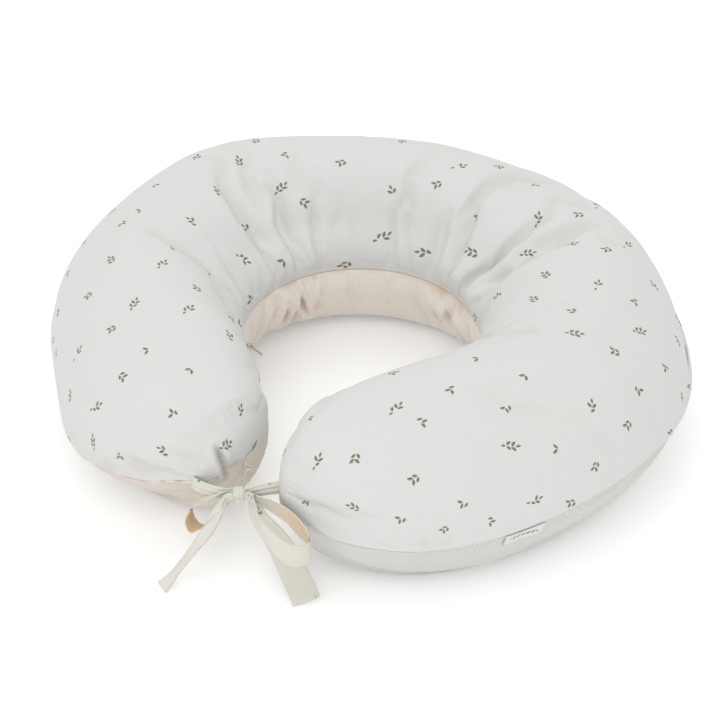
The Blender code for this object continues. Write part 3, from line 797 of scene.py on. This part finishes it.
def build_panel(name, points, flat, tones, upper, mat, node_names):
    """One half of the cover, from seam to seam, with its hems.

    tones holds the point attributes that the panel's material reads.
    """
    turns = points.shape[1]
    half = turns // 2
    normals = surface_normals(points)
    order = [k if upper else (turns - k) % turns for k in range(half + 1)]
    sign = 1.0 if upper else -1.0
    gap = np.maximum(zip_opening(points, half), SEAM_GAP)
    outer = edge_rows(points, normals, order[0], order[1], sign * SEAM_GAP)
    waist = edge_rows(points, normals, order[-1], order[-2], sign * gap)
    columns = outer + [points[:, j] for j in order[1:-1]] + waist[::-1]
    places = [order[0]] * len(outer) + order[1:-1] + [order[-1]] * len(waist)
    grid = np.stack(columns, axis=1)
    quads = grid_quads(*grid.shape[:2])
    if not upper:
        quads = quads[:, ::-1]
    tones = {tone: values[:, places] for tone, values in tones.items()}
    mesh = cloth_mesh(name, grid.reshape(-1, 3), quads, flat[:, places].reshape(-1, 2), tones)
    mesh.materials.append(mat)
    panel = add_piece(name, mesh, "root")
    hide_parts(*node_names)
    return panel


def add_piece(name, mesh, body):
    """Put a mesh in the scene as a piece that rides on a body."""
    piece = linked(name, mesh)
    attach(piece, body)
    return piece


# ---- ties


def at(x, y, z):
    """A point of the CAD model's pillow frame."""
    return np.array((x, y + RING_CENTRE_Y, z))


def knot(along, out, up=0.0):
    """A point near the knot, in the knot's own directions."""
    return KNOT_CENTRE + along * KNOT_ALONG + out * KNOT_OUT + up * UP


def eased(values, i, t):
    """Catmull-Rom value between entries i and i + 1."""
    before = values[max(i - 1, 0)]
    after = values[min(i + 2, len(values) - 1)]
    start, end = values[i], values[i + 1]
    return 0.5 * (
        2.0 * start + t * (end - before)
        + t**2 * (2.0 * before - 5.0 * start + 4.0 * end - after)
        + t**3 * (3.0 * start - 3.0 * end + after - before)
    )


def unit(vector):
    return vector / max(np.linalg.norm(vector), 1e-12)


def strap(keys, seed, camber=0.0, steps=9, across=16):
    """A gathered strap through keys of (point, edge, width, painted shade, fold).

    Painted shade is the share of tan shade painted on the strap, inside its loops; it and fold are 0
    where left out; fold 1 is folded double along its length.
    """
    keys = [(*key, 0.0, 0.0)[:5] for key in keys]
    places = [np.asarray(key[0], dtype=float) for key in keys]
    edges = [unit(np.asarray(key[1], dtype=float)) for key in keys]
    widths = [key[2] for key in keys]
    tones = [np.array((key[3], key[4])) for key in keys]
    path = []
    for i in range(len(keys) - 1):
        for k in range(steps):
            t = k / steps
            tone = tones[i] + t * (tones[i + 1] - tones[i])
            path.append((eased(places, i, t), eased(edges, i, t), eased(widths, i, t), tone))
    path.append((places[-1], edges[-1], widths[-1], tones[-1]))
    spots = [entry[0] for entry in path]
    lengths = [0.0]
    for one, two in zip(spots, spots[1:]):
        lengths.append(lengths[-1] + float(np.linalg.norm(two - one)))
    drift = noise_row(lengths, 0.03, seed)
    grid, flat = [], []
    painted_shade = np.array([[entry[3][0]] * (across + 1) for entry in path])
    for i, (spot, edge, width, (_, fold)) in enumerate(path):
        run = unit(spots[min(i + 1, len(spots) - 1)] - spots[max(i - 1, 0)])
        edge = unit(edge - run * float(np.dot(edge, run)))
        face = np.cross(run, edge)
        packed = max(0.0, 1.0 - width * (1.0 + fold) / TIE_WIDTH)
        free = smooth((float(np.linalg.norm(spot - KNOT_CENTRE)) - 0.005) / 0.016)
        pleat = packed * (PLEAT_IN_KNOT + (PLEAT_OUTSIDE - PLEAT_IN_KNOT) * free)
        row = []
        for k in range(across + 1):
            v = 2.0 * k / across - 1.0
            wave = math.cos(PLEATS * math.pi * v + 1.2 * drift[i]) * (1.0 - 0.3 * v * v)
            bow = camber * (1.0 - v * v) * free * width
            place = 0.5 * width * (v * (1.0 - fold) + (2.0 * abs(v) - 1.0) * fold)
            layer = FOLD_GAP * fold * math.sin(0.5 * math.pi * v)
            row.append(spot + edge * place + face * (pleat * wave + bow + layer))
        grid.append(row)
        flat.append([(lengths[i], TIE_WIDTH * v) for v in np.linspace(-0.5, 0.5, across + 1)])
    return np.array(grid), np.array(flat), painted_shade, lengths[-1]


def band():
    """The turn of the left tie around the knot, with its pleats running round it."""
    low, high = -TIE_THICKNESS, 3.0 * KNOT_LAYER + 0.3 * TIE_THICKNESS
    half = KNOT_WIDTH / 2.0 + 0.0016
    middle = (low + high) / 2.0
    grid, flat = [], []
    for i in range(BAND_STEPS + 1):
        turn = 2.0 * math.pi * i / BAND_STEPS
        c, s = math.cos(turn), math.sin(turn)
        row, cells = [], []
        for k in range(BAND_ACROSS + 1):
            v = 2.0 * k / BAND_ACROSS - 1.0
            ridge = 0.00035 * math.cos(3.5 * math.pi * v + 0.6 * math.sin(turn))
            crown = 0.0014 * (1.0 - v * v) + ridge
            out = middle + ((high - low) / 2.0 + 0.0006 + crown) * math.copysign(abs(c) ** 0.45, c)
            up = (half + crown) * math.copysign(abs(s) ** 0.45, s)
            along = 0.0046 * v * (1.0 + 0.15 * s)
            row.append(knot(along, out, up))
            cells.append((0.3 + 0.0045 * turn, 0.011 * v))
        grid.append(row)
        flat.append(cells)
    painted_shade = np.zeros((BAND_STEPS + 1, BAND_ACROSS + 1))
    return np.array(grid), np.array(flat), painted_shade, 2.0 * math.pi * half


def grid_mesh(name, grids):
    """One mesh of several point grids, each with its flat coordinates and its share of painted tan
    shade.
    """
    verts, quads, cells, painted_shades = [], [], [], []
    count = 0
    for points, flat, painted_shade in grids:
        quads.append(grid_quads(*points.shape[:2]) + count)
        verts.append(points.reshape(-1, 3))
        cells.append(flat.reshape(-1, 2))
        painted_shades.append(painted_shade.ravel())
        count += painted_shade.size
    verts, quads, cells, painted_shades = map(np.concatenate, (verts, quads, cells, painted_shades))
    return cloth_mesh(name, verts, quads, cells, {"painted_shade": painted_shades})


def in_knot(layer, *places):
    """Keys of a strap at places along one layer of the knot."""
    return [(knot(along, layer * KNOT_LAYER), UP, KNOT_WIDTH) for along in places]


def right_tie_keys():
    """From the right tip through the knot, round the left loop, down as the right tail."""
    near = (0.12, -0.98, 0.15)
    flat = (0.9, 0.3, 0.0)
    return [
        (at(0.037, -0.233, 0.0965), UP, 0.016),
        (at(0.025, -0.24, 0.093), UP, 0.014),
        (at(0.012, -0.243, 0.088), UP, 0.012),
        (knot(0.01, 0.0, 0.001), UP, 0.0095),
        *in_knot(0, 0.004, -0.004, -0.009),
        (at(-0.029, -0.253, 0.0785), (0.3, -0.8, 0.5), 0.013),
        # The fourth entries paint tan shade inside the left loop.
        (at(-0.039, -0.259, 0.0745), (0.35, -0.9, 0.25), 0.016, 0.4),
        (at(-0.05, -0.264, 0.0655), near, 0.019, 1.0),
        (at(-0.0545, -0.268, 0.054), near, 0.02, 1.0),
        (at(-0.049, -0.27, 0.044), near, 0.02, 1.0),
        (at(-0.0395, -0.268, 0.0465), (0.25, -0.75, 0.55), 0.019, 1.0),
        (at(-0.0315, -0.264, 0.0585), (0.45, -0.3, 0.8), 0.017, 0.9),
        (at(-0.0255, -0.257, 0.07), (0.35, -0.3, 0.85), 0.012, 0.3),
        (knot(-0.008, KNOT_LAYER, -0.001), UP, KNOT_WIDTH),
        *in_knot(1, -0.002, 0.007),
        (knot(0.0125, KNOT_LAYER, -0.004), 0.8 * UP + 0.6 * KNOT_ALONG, 0.01),
        (at(0.0075, -0.249, 0.059), (0.75, 0.25, 0.5), 0.017),
        (at(0.0275, -0.2535, 0.04), flat, 0.022),
        (at(0.043, -0.261, 0.0225), flat, 0.025),
        (at(0.0565, -0.27, 0.0105), flat, TIE_WIDTH),
        (at(0.068, -0.28, 0.0042), flat, TIE_WIDTH),
    ]


def left_lead_keys():
    """From the left tip to the knot."""
    return [
        (at(-0.066, -0.243, 0.08), UP, 0.015),
        (at(-0.056, -0.2525, 0.0805), UP, 0.015),
        (at(-0.043, -0.2555, 0.081), UP, 0.014),
        (at(-0.029, -0.2545, 0.0805), UP, 0.012),
        (knot(-0.006, -KNOT_LAYER, 0.001), UP, KNOT_WIDTH),
        *in_knot(-1, 0.004),
    ]


def left_loop_keys():
    """Out of the knot round the right loop, back through it and down as the left tail."""
    on_edge = (0.0, -0.15, 0.98)
    leant = (0.0, 0.1, 0.98)
    down_left = (-0.9, -0.3, 0.1)
    return [
        *in_knot(2, -0.004, 0.007),
        (at(0.011, -0.25, 0.079), on_edge, 0.014),
        # The fourth entries paint tan shade inside the right loop.
        (at(0.032, -0.259, 0.0835), on_edge, 0.02, 0.2),
        (at(0.054, -0.269, 0.084), on_edge, 0.023, 0.9),
        (at(0.07, -0.279, 0.078), on_edge, 0.024, 1.0),
        (at(0.076, -0.29, 0.074), (0.0, -0.05, 0.98), 0.024, 1.0),
        (at(0.065, -0.299, 0.0735), leant, 0.024, 0.6),
        (at(0.046, -0.296, 0.078), leant, 0.021, 0.2),
        (at(0.0225, -0.278, 0.079), leant, 0.015),
        (knot(0.012, 0.007, -0.001), UP, 0.01),
        *in_knot(3, 0.006, -0.008),
        (knot(-0.0125, 3.2 * KNOT_LAYER, -0.003), 0.8 * UP - 0.6 * KNOT_ALONG, KNOT_WIDTH),
        (at(-0.0205, -0.272, 0.0735), (-0.8, -0.3, 0.4), 0.0125, 0.0, 0.5),
        (at(-0.027, -0.286, 0.059), down_left, 0.0105, 0.0, 1.0),
        (at(-0.037, -0.298, 0.0415), down_left, 0.0075, 0.0, 1.0),
        (at(-0.048, -0.309, 0.0225), down_left, 0.007, 0.0, 1.0),
        (at(-0.0595, -0.3171, 0.0058), (-0.9, 0.3, 0.0), 0.0125, 0.0, 1.0),
    ]


def build_tie(name, parts, node, materials):
    """One tie from its parts, each (points, flat, painted shade, length), as doubled cotton."""
    mesh = grid_mesh(name, [part[:3] for part in parts])
    for mat in materials:
        mesh.materials.append(mat)
    tie = add_piece(name, mesh, "root")
    cloth = tie.modifiers.new("cloth_thickness", "SOLIDIFY")
    cloth.thickness = TIE_THICKNESS
    cloth.offset = 0.0
    cloth.use_even_offset = False
    cloth.material_offset = len(materials) - 1
    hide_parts(node)
    return tie


def station_row(values, run, along):
    """Values of a grid's columns at one distance along its rows."""
    columns, parts = values.shape[1:]
    return np.array([
        [np.interp(along, run, values[:, column, part]) for part in range(parts)]
        for column in range(columns)
    ])


def build_label(points):
    """The side label: satin folded double, sewn in the outer seam and standing off the rim."""
    corners = [Vector(corner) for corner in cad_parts["side_label"].bound_box]
    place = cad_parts["side_label"].matrix_world @ (sum(corners, Vector()) / 8.0)
    seam = points[:, 0]
    middle = int(np.argmin(np.linalg.norm(seam[:, :2] - np.array(place)[:2], axis=1)))
    run = np.concatenate(((0.0,), np.cumsum(np.linalg.norm(np.diff(seam, axis=0), axis=1))))
    run -= run[middle]
    normals = surface_normals(points)
    order, arc = arc_from_row(points, 0, -1)
    columns = order[:LABEL_COLUMNS]
    grid, flat = [], []
    for i in range(LABEL_STEPS + 1):
        t = i / LABEL_STEPS
        along = LABEL_SHIFT + LABEL_LENGTH * (t - 0.5)
        lift = 0.0008 + 0.0018 * (1.0 - t) ** 2 + 0.0004 * math.sin(9.0 * t)
        rim = station_row(points[:, columns], run, along)
        away = station_row(normals[:, columns], run, along)
        reach = station_row(arc[:, :LABEL_COLUMNS, None], run, along)[:, 0]
        row, cells = [], []
        for share, off in LABEL_PROFILE:
            drop = share * LABEL_DROP
            spot = np.array([np.interp(drop, reach, rim[:, axis]) for axis in range(3)])
            out = unit(np.array([np.interp(drop, reach, away[:, axis]) for axis in range(3)]))
            row.append(spot + out * (off * LABEL_FOLD + lift * share))
            cells.append((along - LABEL_SHIFT, drop - 0.5 * LABEL_DROP))
        grid.append(row)
        flat.append(cells)
    painted_shade = np.zeros((LABEL_STEPS + 1, len(LABEL_PROFILE)))
    mesh = grid_mesh("side_label_satin", [(np.array(grid), np.array(flat), painted_shade)])
    mesh.materials.append(label_satin())
    label = add_piece("side_label_satin", mesh, "root")
    cloth = label.modifiers.new("satin_thickness", "SOLIDIFY")
    cloth.thickness = SATIN_THICKNESS
    cloth.offset = 0.0
    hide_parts("side_label")


# ---- materials


class Graph:
    """A material's node tree, with short calls to wire it."""

    def __init__(self, name, colour, roughness):
        self.mat = bpy.data.materials.new(name)
        self.mat.use_nodes = True
        self.tree = self.mat.node_tree
        self.shader = self.tree.nodes["Principled BSDF"]
        self.shade("Base Color", (*colour, 1.0))
        self.shade("Roughness", roughness)

    def put(self, socket, value):
        """Link a socket's value, or set it."""
        if isinstance(value, bpy.types.NodeSocket):
            self.tree.links.new(value, socket)
        else:
            socket.default_value = value

    def shade(self, name, value):
        """Set or link one of the shader's inputs."""
        self.put(self.shader.inputs[name], value)

    def node(self, kind, inputs=(), **settings):
        new = self.tree.nodes.new("ShaderNode" + kind)
        for key, value in settings.items():
            setattr(new, key, value)
        for key, value in dict(inputs).items():
            self.put(new.inputs[key], value)
        return new

    def math(self, operation, *values):
        new = self.node("Math", operation=operation)
        for socket, value in zip(new.inputs, values):
            self.put(socket, value)
        return new.outputs[0]

    def times(self, one, two):
        return self.math("MULTIPLY", one, two)

    def split(self, vector):
        """The X and Y of a vector."""
        return self.node("SeparateXYZ", {"Vector": vector}).outputs[:2]

    def mix(self, share, one, two):
        new = self.node("Mix", data_type="RGBA")
        self.put(new.inputs[0], share)
        for socket, value in ((new.inputs[6], one), (new.inputs[7], two)):
            self.put(socket, value if isinstance(value, bpy.types.NodeSocket) else (*value, 1.0))
        return new.outputs[2]

    def flat(self):
        """The cloth's flat coordinates, in metres."""
        return self.node("UVMap", uv_map="flat").outputs[0]

    def tone(self, name, share):
        """One of the mesh's point attributes, scaled."""
        value = self.node("Attribute", attribute_name=name).outputs["Fac"]
        return self.times(value, share)

    def noise(self, vector, scale, detail=2.0):
        inputs = {"Vector": vector, "Scale": scale, "Detail": detail}
        return self.node("TexNoise", inputs).outputs[0]

    def bump(self, height, strength, distance):
        inputs = {"Height": height, "Strength": strength, "Distance": distance}
        self.shade("Normal", self.node("Bump", inputs).outputs[0])


def weave_height(graph, flat, spacing):
    """Height of a plain weave with this thread spacing."""
    turn = 2.0 * math.pi / spacing
    warp, weft = (graph.math("SINE", graph.times(part, turn)) for part in graph.split(flat))
    return graph.times(warp, weft)


def leaf_body(graph, along, side):
    """Positive inside a pointed leaf that reaches from -1 to 1."""
    body = graph.math("SUBTRACT", 1.0, graph.times(along, along))
    return graph.math("SUBTRACT", body, graph.math("ABSOLUTE", side))


def leaf_masks(graph, flat):
    """Masks of the printed sprigs and of each leaf's lighter half."""
    cells = graph.node(
        "TexVoronoi",
        {"Vector": flat, "Scale": 1.0 / SPRIG_SPACING, "Randomness": SPRIG_SCATTER},
        voronoi_dimensions="2D",
    )
    chance = graph.node("SeparateColor", {"Color": cells.outputs["Color"]}).outputs
    inputs = {0: flat, 1: cells.outputs["Position"]}
    local = graph.node("VectorMath", inputs, operation="SUBTRACT").outputs[0]
    turn = graph.times(chance[0], 2.0 * math.pi)
    inputs = {"Vector": local, "Angle": turn}
    spun = graph.node("VectorRotate", inputs, rotation_type="Z_AXIS")
    mask, light = 0.0, 0.0
    for (x, y), heading, length, width, pick, least in LEAVES:
        inputs = {
            "Vector": spun.outputs[0],
            "Location": (x, y, 0.0),
            "Rotation": (0.0, 0.0, heading),
            "Scale": (length / 2.0, width / 2.0, 1.0),
        }
        leaf = graph.node("Mapping", inputs, vector_type="TEXTURE")
        along, side = graph.split(leaf.outputs[0])
        curved = graph.math("MULTIPLY_ADD", graph.times(along, along), 0.35, side)
        kept = graph.math("GREATER_THAN", chance[pick], least)
        body = graph.times(leaf_body(graph, along, curved), kept)
        mask = graph.math("MAXIMUM", mask, body)
        upper_half = graph.math("GREATER_THAN", curved, 0.1)
        light = graph.math("MAXIMUM", light, graph.times(body, upper_half))
    solid = graph.node("MapRange", {"Value": mask, "From Min": 0.0, "From Max": 0.22})
    solid = solid.outputs[0]
    return solid, graph.math("GREATER_THAN", light, 0.05)


def printed_cotton(name, ground, shade, painted_shade_colour, share):
    """Fine cotton with a scattered sprig print, and painted tan shade in its creases."""
    graph = Graph(name, ground, 0.82)
    flat = graph.flat()
    cloud = graph.noise(flat, 14.0)
    # Painted shade: the ground turns tan where the mesh marks a crease or a loop's inside.
    base = graph.mix(graph.tone("painted_shade", share), graph.mix(cloud, ground, shade), painted_shade_colour)
    solid, light = leaf_masks(graph, flat)
    ink = graph.mix(light, LEAF_DARK, LEAF_LIGHT)
    worn = graph.math("MULTIPLY_ADD", graph.noise(flat, 900.0, 1.0), 0.3, 0.72)
    graph.shade("Base Color", graph.mix(graph.times(solid, worn), base, ink))
    creep = graph.times(graph.noise(flat, 160.0, 3.0), 0.6)
    height = graph.math("ADD", creep, graph.times(weave_height(graph, flat, COTTON_THREAD), 0.25))
    graph.bump(height, 0.25, 0.0006)
    graph.shade("Sheen Weight", CLOTH_SHEEN)
    graph.shade("Sheen Roughness", 0.5)
    graph.shade("Specular IOR Level", 0.25)
    return graph.mat


def striped_muslin(name):
    """Muslin with fine ribs, tan between them, with painted shade on the outer rim and in the
    creases.
    """
    graph = Graph(name, MUSLIN, 0.88)
    flat = graph.flat()
    wander = graph.times(graph.noise(flat, 30.0), 0.0012)
    across = graph.math("ADD", graph.split(flat)[0], wander)
    rib = graph.math("SINE", graph.times(across, 2.0 * math.pi / STRIPE_PERIOD))
    slub = graph.noise(flat, 420.0, 3.0)
    share = graph.node("MapRange", {"Value": rib, "From Min": -0.3, "From Max": 0.9})
    tone = graph.times(share.outputs[0], graph.math("MULTIPLY_ADD", slub, 0.5, 0.6))
    # The pinstripe by place: print, with painted tan shade on the left and at the left tip.
    tone = graph.times(tone, graph.tone("stripes_and_painted_tan", 1.0))
    base = graph.mix(graph.noise(flat, 12.0), MUSLIN, MUSLIN_SHADE)
    # Painted shade on the outer rim.
    base = graph.mix(graph.tone("rim", 1.0), base, MUSLIN_RIM_PAINTED_SHADE)
    # Painted tan shade in the creases, less of it on the outer rim.
    shaded = graph.math("MULTIPLY_ADD", graph.tone("rim", 1.0), -0.8, 0.9)
    base = graph.mix(graph.tone("painted_shade", shaded), base, MUSLIN_PAINTED_SHADE)
    graph.shade("Base Color", graph.mix(tone, base, STRIPE))
    height = graph.math("MULTIPLY_ADD", rib, -0.5, graph.times(slub, 0.6))
    graph.bump(height, 0.35, 0.0007)
    graph.shade("Sheen Weight", CLOTH_SHEEN)
    graph.shade("Specular IOR Level", 0.2)
    return graph.mat


def label_satin():
    """Folded satin tape with a row of small printed leaves and no lettering."""
    graph = Graph("label_satin", LABEL_WHITE, 0.55)
    flat = graph.flat()
    x, y = graph.split(flat)
    half = LABEL_MARK_SPACING / 2.0
    step = graph.math("WRAP", x, half, -half)
    place = graph.node("CombineXYZ", {"X": step, "Y": y}).outputs[0]
    inputs = {"Vector": place, "Rotation": (0.0, 0.0, 1.1), "Scale": LABEL_MARK_HALF}
    leaf = graph.node("Mapping", inputs, vector_type="TEXTURE")
    body = leaf_body(graph, *graph.split(leaf.outputs[0]))
    inside = graph.math("LESS_THAN", graph.math("ABSOLUTE", x), LABEL_MARKED)
    mask = graph.times(graph.math("GREATER_THAN", body, 0.0), inside)
    tone = graph.mix(graph.noise(flat, 200.0), LABEL_WHITE, LABEL_SHADE)
    graph.shade("Base Color", graph.mix(mask, tone, LABEL_INK))
    graph.bump(weave_height(graph, flat, SATIN_THREAD), 0.2, 0.0003)
    graph.shade("Sheen Weight", 0.3)
    return graph.mat


def brushed_metal(name, colour, roughness):
    """Nickel-plated zinc with fine casting grain."""
    graph = Graph(name, colour, roughness)
    graph.shade("Metallic", 1.0)
    place = graph.node("TexCoord").outputs["Object"]
    grain = graph.noise(place, 2500.0, 3.0)
    inputs = {"Value": grain, "To Min": roughness - 0.08, "To Max": roughness + 0.12}
    rough = graph.node("MapRange", inputs)
    graph.shade("Roughness", rough.outputs[0])
    dull = tuple(0.8 * c for c in colour)
    graph.shade("Base Color", graph.mix(grain, colour, dull))
    graph.bump(grain, 0.15, 0.0001)
    return graph.mat


def ribbed_nylon(name, colour, pitch):
    """Zip tape or coil: ribs along the zip's travel, which runs about the ring axis."""
    graph = Graph(name, colour, 0.6)
    place = graph.node("TexCoord").outputs["Object"]
    x, y = graph.split(place)
    turn = graph.math("ARCTAN2", x, graph.math("SUBTRACT", y, RING_CENTRE_Y))
    rib = graph.math("SINE", graph.times(turn, 2.0 * math.pi * WAIST_RADIUS / pitch))
    shade = tuple(0.7 * c for c in colour)
    share = graph.math("MULTIPLY_ADD", rib, 0.5, 0.5)
    graph.shade("Base Color", graph.mix(share, colour, shade))
    graph.bump(rib, 0.5, 0.0003)
    return graph.mat


def dress_cad_nodes():
    """Give the zip's CAD nodes, which stay in view, their metal and nylon."""
    metal = brushed_metal("zip_metal", NICKEL, 0.36)
    pull = brushed_metal("zip_pull_metal", PULL_NICKEL, 0.42)
    tape = ribbed_nylon("zip_tape", TAPE_NYLON, TAPE_RIB_PITCH)
    coil = ribbed_nylon("zip_coil", COIL_NYLON, COIL_PITCH)
    looks = (
        (metal, ("zip_slider", "zip_top_stop_upper", "zip_top_stop_lower", "zip_bottom_stop")),
        (pull, ("zip_pull_ring", "zip_pull_tab")),
        (tape, ("zip_tape_upper", "zip_tape_lower")),
        (coil, ("zip_coil_upper", "zip_coil_lower")),
    )
    for mat, nodes in looks:
        for node in nodes:
            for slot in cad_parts[node].material_slots:
                slot.material = mat


# ---- stage


def add_camera():
    """The photograph's viewing angle, from in front and above."""
    back = Vector((
        math.sin(CAMERA_AZIMUTH) * math.cos(CAMERA_ELEVATION),
        -math.cos(CAMERA_AZIMUTH) * math.cos(CAMERA_ELEVATION),
        math.sin(CAMERA_ELEVATION),
    ))
    data = bpy.data.cameras.new("camera")
    data.lens = CAMERA_LENS
    data.sensor_width = 36.0
    data.shift_y = CAMERA_SHIFT_Y
    camera = linked("camera", data)
    camera.location = CAMERA_TARGET + back * CAMERA_DISTANCE
    camera.rotation_euler = back.to_track_quat("Z", "Y").to_euler()
    bpy.context.scene.camera = camera


def add_area(name, place, size, power):
    """A round soft box aimed at the pillow."""
    data = bpy.data.lights.new(name, "AREA")
    data.shape = "DISK"
    data.size = size
    data.energy = power
    light = linked(name, data)
    light.location = place
    light.rotation_euler = Vector(place).to_track_quat("Z", "Y").to_euler()


def add_stage():
    """A plain white floor under an even white studio."""
    mesh = bpy.data.meshes.new("floor")
    signs = ((-1, -1), (1, -1), (1, 1), (-1, 1))
    corners = [(x * FLOOR_HALF, y * FLOOR_HALF, FLOOR_HEIGHT) for x, y in signs]
    mesh.from_pydata(corners, [], [(0, 1, 2, 3)])
    white = Graph("floor_white", FLOOR_WHITE, 0.9)
    white.shade("Emission Color", FLOOR_GLOW_COLOUR)
    white.shade("Emission Strength", FLOOR_GLOW)
    mesh.materials.append(white.mat)
    linked("floor", mesh)
    world = bpy.data.worlds.new("studio")
    world.use_nodes = True
    background = world.node_tree.nodes["Background"]
    background.inputs["Color"].default_value = (1.0, 1.0, 1.0, 1.0)
    background.inputs["Strength"].default_value = WORLD_STRENGTH
    bpy.context.scene.world = world
    for name, place, size, power in LIGHTS:
        add_area(name, place, size, power)
    bpy.context.scene.view_settings.view_transform = "Standard"


# ---- assembly


def main():
    coarse_rows = stations(ARM_STEPS, START_INSET)
    angles = [2.0 * math.pi * j / SECTION_STEPS for j in range(SECTION_STEPS)]
    points, fine_rows = cover_points(coarse_rows, angles)
    rest = doubled(skin_grid(coarse_rows, angles, 0.0))
    cotton = printed_cotton("printed_cotton", COTTON, COTTON_SHADE, COTTON_PAINTED_SHADE, 0.55)
    tie = printed_cotton("tie_cotton", TIE_COTTON, TIE_COTTON_SHADE, COTTON_PAINTED_SHADE, 0.55)
    # The ties' other face: the same cotton, with painted tan shade at full strength inside the
    # loops.
    shaded_tie_cotton = printed_cotton("tie_cotton_painted_shade", TIE_COTTON, TIE_COTTON_SHADE, TIE_PAINTED_SHADE, 1.0)
    muslin = striped_muslin("pinstripe_muslin")
    hidden = ("inner_case_top", "inner_case_bottom", "fibre_fill", "care_label")
    # Share of painted tan shade in each crease of the cover.
    painted_shade = hollows(points)
    stripes_and_painted_tan, rim = muslin_tones(points, fine_rows)
    build_panel(
        "cover_top", points, flat_coordinates(rest, fine_rows, True), {"painted_shade": painted_shade}, True, cotton,
        ("cover_top_panel", *hidden),
    )
    build_panel(
        "cover_bottom", points, flat_coordinates(rest, fine_rows, False),
        {"painted_shade": painted_shade, "stripes_and_painted_tan": stripes_and_painted_tan, "rim": rim}, False, muslin,
        ("cover_bottom_panel",),
    )
    build_tie("tie_right_cloth", [strap(right_tie_keys(), 21)], "tie_right", (shaded_tie_cotton, tie))
    left = [strap(left_lead_keys(), 22), strap(left_loop_keys(), 23), band()]
    build_tie("tie_left_cloth", left, "tie_left", (tie, shaded_tie_cotton))
    build_label(points)
    dress_cad_nodes()
    add_camera()
    add_stage()


main()
